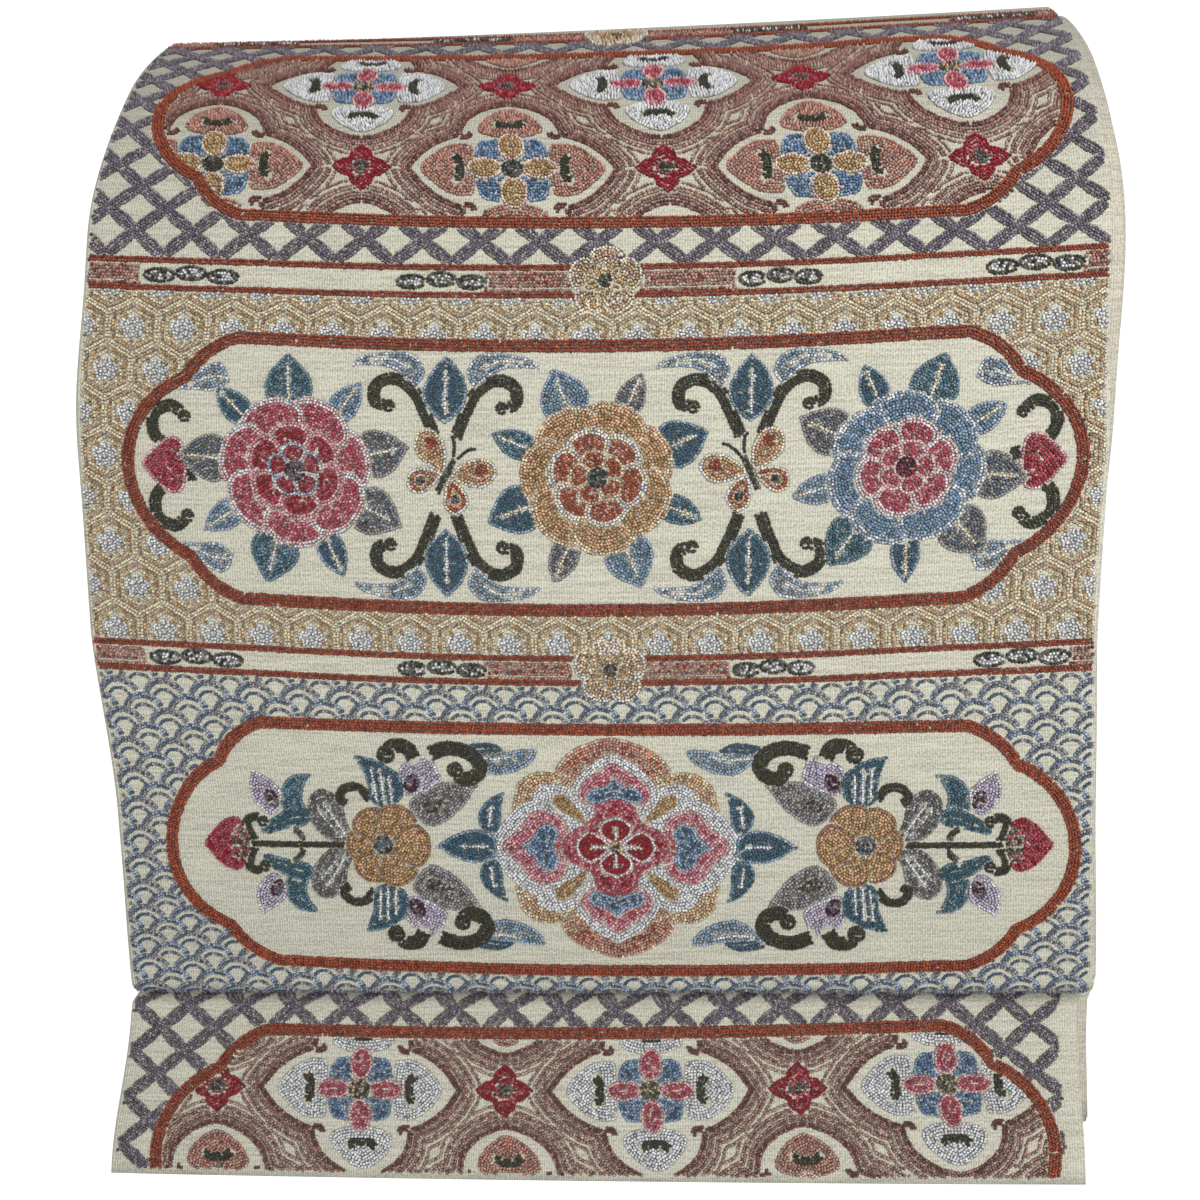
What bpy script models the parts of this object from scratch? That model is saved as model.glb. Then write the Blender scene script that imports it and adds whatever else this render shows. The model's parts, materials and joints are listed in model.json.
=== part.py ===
"""A fukuro obi sash folded into its drum bow, as hollow cloth solids.

The sash hangs over a bar that stands for the wearer's pillow. One doubled cloth makes the bow:
it turns up under the drum's lower fold, runs up the face, over the crown and down the back.
Behind the face it is folded back on itself, and its end, the tare, hangs below the drum.
The rest of its length is folded flat and hangs over the same bar inside the drum.

X runs across the sash, Y from the face to the back, Z up. Lengths below are in millimetres.
The origin lies on the underside of the folded layers, where the bar bears.
"""
import bisect
import math

import bmesh
import bpy
from mathutils import Vector

MM = 0.001

# Cloth
CLOTH_WIDTH = 310.0
FACE_WALL = 1.3  # pattern-side cloth with its interlining
LINING_WALL = 0.8
SEAM_GAP = 0.3  # between any two pieces that touch
LINING_INSET = 1.5  # the face cloth turns this far round each edge of the lining
SASH_WALL = FACE_WALL + SEAM_GAP + LINING_WALL
CLEARANCE = 0.5  # between the sash's walls and the folded layers
ACROSS = 10  # cells across each cloth

# The drum, from its lower fold round to the tuck behind: length and turn of each stretch.
FOLD_RADIUS = 4.5
LAYERS = 4
LAYER = 3.0
PACK = LAYERS * LAYER
TUCK_RADIUS = (2 * SASH_WALL + 2 * CLEARANCE + PACK) / 2
DRUM_RUN = (
    # name, length, turn in degrees, cells
    ("lower fold", math.radians(172.7) * FOLD_RADIUS, 172.7, 8),
    ("face", 223.5, 17.9, 9),
    ("shoulder", 60.0, 40.9, 6),
    ("crown", 64.0, 20.2, 4),
    ("roll", 75.6, 108.3, 9),
    ("back", 262.0, 0.0, 6),
    ("tuck turn", math.pi * TUCK_RADIUS, 180.0, 8),
    ("tuck", 40.0, 0.0, 1),
)
DRUM_START = (2 * FOLD_RADIUS, FOLD_RADIUS)  # y, z of the inner end of the lower fold
FOLD_BOTTOM = math.pi / 2 * FOLD_RADIUS  # along the drum, where pattern height is zero

# The stretch that is folded up behind the face, and the tare that comes down from it.
INNER_HEIGHT = 130.0
TURN_RADIUS = 2.5
INNER_RUN = (("inner pass", INNER_HEIGHT, 0.0, 6),)
TARE_RUN = (
    ("top turn", math.pi * TURN_RADIUS, 180.0, 7),
    ("behind the face", 127.0, 0.0, 5),
    ("swing", 20.0, 17.0, 4),
    ("flap", 52.0, 0.0, 4),
)
DOWN = 180.0  # heading of a stretch that runs straight down
UP = 0.0

# The rest of the sash, folded in four and hung over the bar inside the drum.
PACK_GAP = SASH_WALL + CLEARANCE
PACK_FRONT = 2 * FOLD_RADIUS + 2 * TURN_RADIUS + PACK_GAP
PACK_FOOT = -50.0
PACK_LEAN_FROM = 140.0  # above this the layers lean forward under the shoulder
PACK_MEETS_AT = 236.0  # pattern height where they reach the drum
PACK_BACK_FOOT = 22.0
PACK_LAYERS = (
    # left edge, right edge, how much longer the layer hangs
    (-150.5, 159.5, 0.0),
    (-152.0, 157.5, -3.0),
    (-150.0, 160.5, 1.5),
    (-151.5, 158.5, -2.0),
)
GROOVE = 1.1  # depth of the groove between two folded edges

# How the hanging cloth departs from a straight sheet, by height above the lower fold.
DRAPE = (
    # height, middle forward, middle droops, left edge, right edge, left drops, right drops
    (-61.0, 0.5, 0.6, -5.7, -1.8, 1.9, 0.9),
    (-10.0, 0.8, 0.6, -2.2, -3.0, 2.4, 1.2),
    (0.0, 1.0, 0.4, 2.6, -0.4, 3.6, 1.4),
    (60.0, 0.8, 1.0, 3.4, -1.8, 2.0, 0.8),
    (120.0, -0.1, 3.0, -2.8, -2.4, 0.6, 0.0),
    (180.0, -1.0, 2.6, -4.6, 0.8, -0.6, -1.4),
    (238.0, -1.4, 2.6, -2.0, 2.4, -1.4, -3.4),
    (285.0, -0.2, 1.6, 0.9, 0.6, -2.2, -6.0),
    (312.0, 0.0, 1.1, 1.8, -1.4, -2.8, -7.4),
)

# How the rows of the pattern bow and lean on the cloth
DRUM_DRIFT = (
    # height of a row, how much higher it lies at -100, at 0 and at 100 across
    (0.0, 5.9, 2.6, 4.0),
    (50.0, 3.7, 3.1, 2.4),
    (88.5, 3.9, 2.0, 1.6),
    (107.0, 4.0, 1.4, 2.4),
    (127.0, 4.0, 1.0, 2.1),
    (207.0, 2.8, -0.5, 0.2),
    (226.0, 2.0, -0.7, -0.6),
    (245.8, 2.3, -1.9, -2.6),
    (263.5, 2.8, -1.6, -3.0),
    (303.0, 3.5, -2.8, -2.8),
)
TARE_DRIFT = ((300.0, 0.9, 0.6, 3.0),)

# Embroidery thick enough to stand off the cloth
PILE = 1.0
RIM_WIDTH = 3.0
FRAMES = (
    # name, centre height, centre across, on the tare
    ("rim_waves", 48.5, 5.5, False),
    ("rim_garden", 167.0, 4.0, False),
    ("rim_lattice", 285.8, 2.5, False),
    ("rim_tare", 285.8, 2.5, True),
)
FRAME_HALF_LENGTH = 143.5
FRAME_HALF_HEIGHT = 40.0
FRAME_STRAIGHT = 110.0  # where the long sides end
LOBE_RADIUS = 30.0  # the round end
NOTCH = (123.0, 27.5)  # where the shoulder meets the round end
SHOULDER_BOW = 2.0
TARE_TOP_LINE = 160.7  # along the tare, where its frame's upper line runs
HEM_MARGIN = 2.0
FLOWERS = (
    # name, petals, radius, notch between petals, across, height, width factor, on the tare
    ("white_flower_1", 4, 23.5, 0.34, -77.0, 303.5, 1.15, False),
    ("white_flower_2", 4, 23.5, 0.34, 18.0, 302.5, 1.15, False),
    ("white_flower_3", 4, 23.5, 0.34, 112.5, 302.0, 1.15, False),
    ("salmon_flower_1", 4, 24.0, 0.34, -118.5, 264.5, 1.2, False),
    ("salmon_flower_2", 4, 24.0, 0.34, -24.0, 264.0, 1.2, False),
    ("salmon_flower_3", 4, 24.0, 0.34, 71.0, 262.0, 1.2, False),
    ("tare_flower_1", 4, 21.5, 0.34, -77.0, 307.3, 1.25, True),
    ("tare_flower_2", 4, 21.5, 0.34, 18.0, 307.3, 1.25, True),
    ("tare_flower_3", 4, 21.5, 0.34, 112.5, 307.3, 1.25, True),
    ("band_flower_upper", 5, 11.0, 0.22, 5.0, 226.5, 1.0, False),
    ("band_flower_lower", 5, 11.0, 0.22, 7.5, 108.0, 1.0, False),
    ("garden_roundel_left", 8, 31.0, 0.10, -88.0, 167.0, 1.0, False),
    ("garden_roundel_middle", 8, 31.0, 0.10, 4.0, 167.0, 1.0, False),
    ("garden_roundel_right", 8, 31.0, 0.10, 96.0, 167.0, 1.0, False),
    ("karahana", 4, 37.0, 0.20, 5.5, 49.5, 1.0, False),
    ("rosette_left", 6, 14.5, 0.16, -69.0, 49.5, 1.0, False),
    ("rosette_right", 6, 14.5, 0.16, 84.0, 50.0, 1.0, False),
)
FLOWER_POINTS = 4  # outline points for each half petal
FLOWER_RINGS = 2

SURFACES = {
    # material: colour, roughness
    "ivory_cloth": ((0.71, 0.67, 0.53), 0.85),
    "lining_cloth": ((0.74, 0.70, 0.58), 0.8),
    "rust_thread": ((0.40, 0.12, 0.06), 0.9),
    "white_thread": ((0.72, 0.72, 0.76), 0.9),
    "salmon_thread": ((0.62, 0.30, 0.22), 0.9),
    "peach_thread": ((0.58, 0.36, 0.20), 0.9),
    "rose_thread": ((0.50, 0.16, 0.20), 0.9),
}


class Run:
    """A path in the Y-Z plane made of arcs and straights, each a length and a turn."""

    def __init__(self, start, heading, rows, side):
        self.side = side  # +1 when the pattern faces left of the way the path runs
        self.stops = [0.0]
        self.states = [(start[0], start[1], math.radians(heading))]
        self.bends = []
        self.cuts = [0.0]
        for _, length, turn, cells in rows:
            bend = math.radians(turn) / length
            self.bends.append(bend)
            base = self.stops[-1]
            self.states.append(step(self.states[-1], bend, length))
            self.stops.append(base + length)
            self.cuts += [base + length * (i + 1) / cells for i in range(cells)]

    def at(self, along, depth=0.0):
        """Point and outward normal at a distance along, moved in from the pattern side."""
        last = len(self.bends) - 1
        index = min(max(bisect.bisect_right(self.stops, along) - 1, 0), last)
        y, z, heading = step(self.states[index], self.bends[index], along - self.stops[index])
        normal = (-self.side * math.cos(heading), self.side * math.sin(heading))
        return y - normal[0] * depth, z - normal[1] * depth, normal


def step(state, bend, length):
    y, z, heading = state
    if abs(bend) < 1e-9:
        return y + length * math.sin(heading), z + length * math.cos(heading), heading
    after = heading + bend * length
    return (
        y + (math.cos(heading) - math.cos(after)) / bend,
        z + (math.sin(after) - math.sin(heading)) / bend,
        after,
    )


def blended(rows, height):
    """The row of a table at a height, eased between the two nearest rows."""
    heights = [row[0] for row in rows]
    if height <= heights[0]:
        return rows[0][1:]
    if height >= heights[-1]:
        return rows[-1][1:]
    index = bisect.bisect_right(heights, height) - 1
    share = (height - heights[index]) / (heights[index + 1] - heights[index])
    share = share * share * (3 - 2 * share)
    return tuple(a + (b - a) * share for a, b in zip(rows[index][1:], rows[index + 1][1:]))


DRUM = Run(DRUM_START, DOWN, DRUM_RUN, side=1)
INNER = Run((DRUM_START[0], DRUM_START[1] + SEAM_GAP), UP, INNER_RUN, side=-1)
TARE = Run((DRUM_START[0], DRUM_START[1] + 2 * SEAM_GAP + INNER_HEIGHT), UP, TARE_RUN, side=-1)


def roll_centre():
    """Centre of the arc that the drum makes round the bar."""
    along = sum(length for _, length, _, _ in DRUM_RUN[:4])
    radius = DRUM_RUN[4][1] / math.radians(DRUM_RUN[4][2])
    y, z, _ = DRUM.at(along, radius)
    return y, z, radius


ROLL_Y, ROLL_Z, ROLL_RADIUS = roll_centre()
BAR_RADIUS = ROLL_RADIUS - PACK_GAP - PACK
BAR_TOP = ROLL_Z + BAR_RADIUS
BAR_FORWARD, BAR_DROOP, _, _, LEFT_DROP, RIGHT_DROP = blended(DRAPE, BAR_TOP)
ORIGIN_Y = ROLL_Y - BAR_FORWARD
ORIGIN_Z = BAR_TOP - BAR_DROOP - (LEFT_DROP + RIGHT_DROP) / 2


def hung(across, y, z):
    """A point of a straight-hung sheet moved by the drape, in metres from the origin."""
    forward, droop, left, right, left_drop, right_drop = blended(DRAPE, z)
    share = across / CLOTH_WIDTH + 0.5
    middle = max(0.0, 1 - (2 * across / CLOTH_WIDTH) ** 2)
    x = across + left * (1 - share) + right * share
    y -= forward * middle
    z -= droop * middle + left_drop * (1 - share) + right_drop * share
    return Vector((x, y - ORIGIN_Y, z - ORIGIN_Z)) * MM


def drifted(across, height, rows):
    """Height on the cloth of a point of the pattern, whose rows bow and lean a little."""
    left, middle, right = blended(rows, height)
    share = across / 100
    inner = max(-1.0, min(1.0, share))
    lean = (right - left) / 2
    bow = (right + left) / 2 - middle
    return height + middle + lean * share + bow * (inner**2 + abs(share) - abs(inner))


def on_drum(across, height, lift=0.0):
    y, z, _ = DRUM.at(drifted(across, height, DRUM_DRIFT) + FOLD_BOTTOM, -lift)
    return hung(across, y, z)


def tare_along(across, height):
    """Distance along the tare for a point of the lattice panel's own pattern."""
    frame_top = FRAMES[3][1] + FRAME_HALF_HEIGHT
    return TARE_TOP_LINE + frame_top - drifted(across, height, TARE_DRIFT)


def on_tare(across, height, lift=0.0):
    y, z, _ = TARE.at(tare_along(across, height), -lift)
    return hung(across, y, z)


def finish(name, bm, material, thickness, collection):
    """Adds a mesh to the collection, and gives an open surface a wall that it runs midway in."""
    mesh = bpy.data.meshes.new(name)
    bmesh.ops.recalc_face_normals(bm, faces=bm.faces)
    bm.to_mesh(mesh)
    bm.free()
    mesh.materials.append(bpy.data.materials[material])
    mesh.shade_smooth()
    mesh.set_sharp_from_angle(angle=math.radians(40))
    obj = bpy.data.objects.new(name, mesh)
    collection.objects.link(obj)
    if thickness:
        wall = obj.modifiers.new("Wall", "SOLIDIFY")
        wall.thickness = thickness * MM
        wall.offset = 0.0
    return obj


def sheet(name, run, material, top, wall, inset, collection):
    """One cloth wall along a run, from depth `top` down through its thickness."""
    bm = bmesh.new()
    rows = len(run.cuts) - 1
    bmesh.ops.create_grid(bm, x_segments=ACROSS, y_segments=rows, size=1.0)
    half = CLOTH_WIDTH / 2 - inset
    for vert in bm.verts:
        along = run.cuts[round((vert.co.y + 1) / 2 * rows)]
        y, z, _ = run.at(along, top + wall / 2)
        vert.co = hung(vert.co.x * half, y, z)
    return finish(name, bm, material, wall, collection)


def doubled(name, run, collection):
    """A stretch of the sash: its face cloth and the lining under it."""
    sheet(name, run, "ivory_cloth", 0.0, FACE_WALL, 0.0, collection)
    sheet(
        name + "_lining",
        run,
        "lining_cloth",
        FACE_WALL + SEAM_GAP,
        LINING_WALL,
        LINING_INSET,
        collection,
    )


def pack_path():
    """Y-Z points of the folded layers' outer side, from the front foot to the back foot."""
    points = [(PACK_FRONT, PACK_FOOT + (PACK_LEAN_FROM - PACK_FOOT) * i / 5) for i in range(6)]
    meet = DRUM.at(PACK_MEETS_AT + FOLD_BOTTOM, PACK_GAP)
    start = Vector(points[-1])
    end = Vector(meet[:2])
    reach = (end - start).length
    leaving = Vector((0.0, reach))
    arriving = Vector((meet[2][1], -meet[2][0])) * reach
    steps = 6
    for i in range(1, steps):
        t = i / steps
        curve = (
            start * (2 * t**3 - 3 * t**2 + 1)
            + leaving * (t**3 - 2 * t**2 + t)
            + end * (3 * t**2 - 2 * t**3)
            + arriving * (t**3 - t**2)
        )
        points.append(tuple(curve))
    points.append(meet[:2])
    back_end = sum(length for _, length, _, _ in DRUM_RUN[:6])
    for along in DRUM.cuts:
        if PACK_MEETS_AT + FOLD_BOTTOM + 4 < along < back_end - 1:
            y, z, _ = DRUM.at(along, PACK_GAP)
            if z > PACK_BACK_FOOT + 8:
                points.append((y, z))
    points.append((points[-1][0], PACK_BACK_FOOT))
    return points


def pack_section():
    """Outline across the layers: (across, depth, layer), with a groove between folded edges."""
    right = []
    for index, (_, edge, _) in enumerate(PACK_LAYERS):
        top = index * LAYER
        right += [
            (edge - GROOVE, top, index),
            (edge, top + LAYER * 0.3, index),
            (edge, top + LAYER * 0.7, index),
        ]
    right.append((PACK_LAYERS[-1][1] - GROOVE, PACK, LAYERS - 1))
    left = []
    for index, (edge, _, _) in enumerate(PACK_LAYERS):
        top = index * LAYER
        left += [
            (edge + GROOVE, top, index),
            (edge, top + LAYER * 0.3, index),
            (edge, top + LAYER * 0.7, index),
        ]
    left.append((PACK_LAYERS[-1][0] + GROOVE, PACK, LAYERS - 1))
    spans = 6
    bottom = [
        (right[-1][0] + (left[-1][0] - right[-1][0]) * i / spans, PACK, LAYERS - 1)
        for i in range(1, spans)
    ]
    top = [
        (left[0][0] + (right[0][0] - left[0][0]) * i / spans, 0.0, 0) for i in range(1, spans)
    ]
    return right + bottom + left[::-1] + top


def folded_layers(collection):
    """The hidden length: one solid that is layered at its edges and feet."""
    path = pack_path()
    section = pack_section()
    bm = bmesh.new()
    rings = []
    for i, (y, z) in enumerate(path):
        before = Vector(path[max(i - 1, 0)])
        after = Vector(path[min(i + 1, len(path) - 1)])
        way = (after - before).normalized()
        inward = Vector((way.y, -way.x))
        at_front = i == 0
        at_back = i == len(path) - 1
        ring = []
        for across, depth, layer in section:
            longer = PACK_LAYERS[layer][2]
            slide = way * (-longer if at_front else longer if at_back else 0.0)
            place = Vector((y, z)) + inward * depth + slide
            ring.append(bm.verts.new(hung(across, place.x, place.y)))
        rings.append(ring)
    for lower, upper in zip(rings, rings[1:]):
        for i in range(len(section)):
            j = (i + 1) % len(section)
            bm.faces.new((lower[i], lower[j], upper[j], upper[i]))
    for ring in (rings[0], rings[-1]):
        bmesh.ops.contextual_create(bm, geom=ring)
    bmesh.ops.triangulate(bm, faces=[f for f in bm.faces if len(f.verts) > 4])
    finish("folded_layers", bm, "lining_cloth", 0.0, collection)


def arc(centre, radius, start, end, count):
    """Points of an arc, angles in degrees."""
    return [
        (
            centre[0] + radius * math.cos(math.radians(start + (end - start) * i / count)),
            centre[1] + radius * math.sin(math.radians(start + (end - start) * i / count)),
        )
        for i in range(count + 1)
    ]


def frame_quarter():
    """A quarter of the frame's line, from the right tip up to the middle of the long side."""
    centre = (FRAME_HALF_LENGTH - LOBE_RADIUS, 0.0)
    notch_angle = math.degrees(math.asin(NOTCH[1] / LOBE_RADIUS))
    points = arc(centre, LOBE_RADIUS, 0.0, notch_angle, 6)
    start = Vector(points[-1])
    end = Vector((FRAME_STRAIGHT, FRAME_HALF_HEIGHT))
    out = Vector((end.y - start.y, start.x - end.x)).normalized()
    for share in (0.25, 0.5, 0.75):
        bow = out * SHOULDER_BOW * 4 * share * (1 - share)
        points.append(tuple(start.lerp(end, share) + bow))
    points.append(tuple(end))
    points += [(FRAME_STRAIGHT * share, FRAME_HALF_HEIGHT) for share in (0.75, 0.5, 0.25, 0.0)]
    return points


def frame_line(across, height):
    """The whole frame as a closed line of (across, height) points."""
    quarter = frame_quarter()
    upper = quarter + [(-x, y) for x, y in reversed(quarter[:-1])]
    lower = [(x, -y) for x, y in reversed(upper[1:-1])]
    return [(across + x, height + y) for x, y in upper + lower]


def beside(line, index, offset, closed):
    """The point of a line moved sideways by an offset."""
    count = len(line)
    before = line[(index - 1) % count] if closed else line[max(index - 1, 0)]
    after = line[(index + 1) % count] if closed else line[min(index + 1, count - 1)]
    way = (Vector(after) - Vector(before)).normalized()
    return line[index][0] - way.y * offset, line[index][1] + way.x * offset


def ribbon(name, line, width, place, closed, material, collection):
    """Raised embroidery of one width along a line of the pattern."""
    bm = bmesh.new()
    lift = SEAM_GAP + PILE / 2
    pairs = [
        [
            bm.verts.new(place(*beside(line, i, side * width / 2, closed), lift))
            for side in (-1, 1)
        ]
        for i in range(len(line))
    ]
    ends = pairs[1:] + pairs[:1] if closed else pairs[1:]
    for (a, b), (c, d) in zip(pairs, ends):
        bm.faces.new((a, b, d, c))
    finish(name, bm, material, PILE, collection)


def above_hem(point):
    """How far a point of the tare's pattern stays above the margin at the hem."""
    return TARE.stops[-1] - HEM_MARGIN - tare_along(*point)


def cut_at_hem(line):
    """The part of a closed line that stays above the hem, as one open line."""
    count = len(line)
    below = next(i for i in range(count) if above_hem(line[i]) < 0)
    turned = line[below:] + line[:below]
    kept = [p for p in turned if above_hem(p) >= 0]
    first = turned.index(kept[0])
    last = turned.index(kept[-1])
    return (
        [crossing(turned[first - 1], turned[first])]
        + kept
        + [crossing(turned[last], turned[(last + 1) % count])]
    )


def crossing(a, b):
    """Where the way between two points of the tare's pattern meets the hem's margin."""
    share = above_hem(a) / (above_hem(a) - above_hem(b))
    return a[0] + (b[0] - a[0]) * share, a[1] + (b[1] - a[1]) * share


def petal_reach(angle, petals, gap):
    """Radius of a flower's outline, 1 at the petals' tips and less between them."""
    phase = abs(math.cos(petals * (angle - math.pi / 2) / 2))
    return 1 - gap * (1 - math.sqrt(phase))


def room(point, frame):
    """Distance from a point to the nearest frame line."""
    p = Vector(point)
    nearest = 1e9
    for a, b in zip(frame, frame[1:] + frame[:1]):
        a, b = Vector(a), Vector(b)
        share = max(0.0, min(1.0, (p - a).dot(b - a) / (b - a).length_squared))
        nearest = min(nearest, (p - a.lerp(b, share)).length)
    return nearest


def nearest_frame(height, on_flap):
    return min(
        (f for f in FRAMES if f[3] == on_flap), key=lambda row: abs(row[1] - height)
    )


def flower(row, collection):
    """A raised flower head, held clear of the frame round it and of the hem."""
    name, petals, radius, gap, across, height, wide, on_flap = row
    place = on_tare if on_flap else on_drum
    _, frame_height, frame_across, _ = nearest_frame(height, on_flap)
    frame = frame_line(frame_across, frame_height)
    clear = RIM_WIDTH / 2 + SEAM_GAP
    count = 2 * petals * FLOWER_POINTS
    reaches = []
    for i in range(count):
        angle = 2 * math.pi * i / count
        reach = radius * petal_reach(angle, petals, gap)
        limit = reach
        while limit > 1.0:
            tip = (across + wide * limit * math.cos(angle), height + limit * math.sin(angle))
            if crosses_none((across, height), tip, frame, clear):
                break
            limit -= 0.5
        reaches.append((angle, limit))
    bm = bmesh.new()
    lift = SEAM_GAP + PILE / 2
    middle = bm.verts.new(place(across, height, lift))
    rings = []
    for ring in range(1, FLOWER_RINGS + 1):
        share = ring / FLOWER_RINGS
        rings.append(
            [
                bm.verts.new(
                    place(
                        across + wide * share * reach * math.cos(angle),
                        height + share * reach * math.sin(angle),
                        lift,
                    )
                )
                for angle, reach in reaches
            ]
        )
    for i in range(count):
        j = (i + 1) % count
        bm.faces.new((middle, rings[0][i], rings[0][j]))
        for lower, upper in zip(rings, rings[1:]):
            bm.faces.new((lower[i], upper[i], upper[j], lower[j]))
    finish(name, bm, thread_of(name), PILE, collection)


def crosses_none(centre, tip, frame, clear):
    """True if the way from a flower's middle to a petal's point stays clear of the frame."""
    samples = 24
    return all(
        room(
            (
                centre[0] + (tip[0] - centre[0]) * i / samples,
                centre[1] + (tip[1] - centre[1]) * i / samples,
            ),
            frame,
        )
        > clear
        for i in range(1, samples + 1)
    )


def thread_of(name):
    threads = {
        "white": "white_thread",
        "tare": "white_thread",
        "salmon": "salmon_thread",
        "band": "peach_thread",
        "rosette": "peach_thread",
    }
    return threads.get(name.split("_")[0], "rose_thread")


def make_materials():
    for name, (colour, roughness) in SURFACES.items():
        material = bpy.data.materials.new(name)
        material.use_nodes = True
        shader = material.node_tree.nodes["Principled BSDF"]
        shader.inputs["Base Color"].default_value = (*colour, 1.0)
        shader.inputs["Roughness"].default_value = roughness
        shader.inputs["Metallic"].default_value = 0.0


def main():
    for obj in list(bpy.data.objects):
        bpy.data.objects.remove(obj, do_unlink=True)
    make_materials()
    collection = bpy.data.collections.new("Obi sash")
    bpy.context.scene.collection.children.link(collection)
    doubled("drum", DRUM, collection)
    doubled("inner_pass", INNER, collection)
    doubled("tare", TARE, collection)
    folded_layers(collection)
    for name, height, across, on_flap in FRAMES:
        line = frame_line(across, height)
        if on_flap:
            line = cut_at_hem(line)
        place = on_tare if on_flap else on_drum
        ribbon(name, line, RIM_WIDTH, place, not on_flap, "rust_thread", collection)
    for row in FLOWERS:
        flower(row, collection)


main()
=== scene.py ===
"""Looks of a fukuro obi sash folded into its drum bow: silk cloth and knotted embroidery.

Lengths in this file are millimetres unless a name says otherwise. The pattern is laid out flat:
`across` runs from the middle of the cloth to the right, `height` runs up the face of the drum
from the bottom of its lower fold. The form below then carries it onto the hung cloth.
"""
import functools
import json
import math

import bpy
import numpy as np
from mathutils import Matrix, Vector

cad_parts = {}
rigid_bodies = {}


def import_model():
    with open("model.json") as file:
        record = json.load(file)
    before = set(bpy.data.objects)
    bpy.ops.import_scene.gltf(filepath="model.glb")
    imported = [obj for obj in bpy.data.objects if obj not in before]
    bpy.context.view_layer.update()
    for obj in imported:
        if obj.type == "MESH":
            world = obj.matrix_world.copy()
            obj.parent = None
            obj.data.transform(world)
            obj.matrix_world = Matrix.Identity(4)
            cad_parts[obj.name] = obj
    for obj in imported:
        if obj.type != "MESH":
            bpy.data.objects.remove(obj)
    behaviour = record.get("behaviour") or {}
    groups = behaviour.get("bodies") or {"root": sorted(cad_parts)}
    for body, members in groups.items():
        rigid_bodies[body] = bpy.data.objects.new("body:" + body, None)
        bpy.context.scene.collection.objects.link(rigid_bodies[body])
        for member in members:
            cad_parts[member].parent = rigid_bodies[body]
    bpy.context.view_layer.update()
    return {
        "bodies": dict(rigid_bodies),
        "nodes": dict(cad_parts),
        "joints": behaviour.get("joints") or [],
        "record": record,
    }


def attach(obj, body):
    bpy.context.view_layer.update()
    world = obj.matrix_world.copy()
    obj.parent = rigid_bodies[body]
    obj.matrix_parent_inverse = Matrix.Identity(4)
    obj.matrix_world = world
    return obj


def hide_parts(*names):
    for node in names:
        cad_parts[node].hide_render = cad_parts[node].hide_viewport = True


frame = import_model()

bl_info = {
    "name": "Obi Drum Bow",
    "version": (1, 0, 0),
    "blender": (4, 5, 0),
    "location": "3D View > Sidebar > Obi",
    "description": "Dresses a folded obi sash in silk cloth and knotted embroidery",
    "category": "Add Mesh",
}

MM = 0.001
SEED = 31

# ---------------------------------------------------------------------------------------------
# The form of the hung cloth, as in the solids

CLOTH_WIDTH = 310.0
FACE_WALL = 1.3
LINING_WALL = 0.8
SEAM_GAP = 0.3
LINING_INSET = 1.5
SASH_WALL = FACE_WALL + SEAM_GAP + LINING_WALL
CLEARANCE = 0.5
FOLD_RADIUS = 4.5
LAYERS = 4
LAYER = 3.0  # from one folded layer to the next
LAYER_WALL = 2.75
LAYER_INSET = 0.12
PACK = LAYERS * LAYER
TUCK_RADIUS = (2 * SASH_WALL + 2 * CLEARANCE + PACK) / 2
INNER_HEIGHT = 130.0
TURN_RADIUS = 2.5
DRUM_START = (2 * FOLD_RADIUS, FOLD_RADIUS)
FOLD_BOTTOM = math.pi / 2 * FOLD_RADIUS
UP, DOWN = 0.0, 180.0

DRUM_RUN = (
    # length, turn in degrees
    (math.radians(172.7) * FOLD_RADIUS, 172.7),
    (223.5, 17.9),
    (60.0, 40.9),
    (64.0, 20.2),
    (75.6, 108.3),
    (262.0, 0.0),
    (math.pi * TUCK_RADIUS, 180.0),
    (40.0, 0.0),
)
TARE_RUN = (
    (math.pi * TURN_RADIUS, 180.0),
    (127.0, 0.0),
    (20.0, 17.0),
    (52.0, 0.0),
)
DRAPE = np.array([
    # height, middle forward, middle droops, left edge, right edge, left drops, right drops
    (-61.0, 0.5, 0.6, -5.7, -1.8, 1.9, 0.9),
    (-10.0, 0.8, 0.6, -2.2, -3.0, 2.4, 1.2),
    (0.0, 1.0, 0.4, 2.6, -0.4, 3.6, 1.4),
    (60.0, 0.8, 1.0, 3.4, -1.8, 2.0, 0.8),
    (120.0, -0.1, 3.0, -2.8, -2.4, 0.6, 0.0),
    (180.0, -1.0, 2.6, -4.6, 0.8, -0.6, -1.4),
    (238.0, -1.4, 2.6, -2.0, 2.4, -1.4, -3.4),
    (285.0, -0.2, 1.6, 0.9, 0.6, -2.2, -6.0),
    (312.0, 0.0, 1.1, 1.8, -1.4, -2.8, -7.4),
])
PACK_GAP = SASH_WALL + CLEARANCE
PACK_FRONT = 2 * FOLD_RADIUS + 2 * TURN_RADIUS + PACK_GAP
PACK_FOOT = -50.0
PACK_LEAN_FROM = 140.0
PACK_MEETS_AT = 236.0
PACK_BACK_FOOT = 22.0
PACK_LAYERS = (
    # left edge, right edge, how much longer the layer hangs
    (-150.5, 159.5, 0.0),
    (-152.0, 157.5, -3.0),
    (-150.0, 160.5, 1.5),
    (-151.5, 158.5, -2.0),
)

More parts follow.
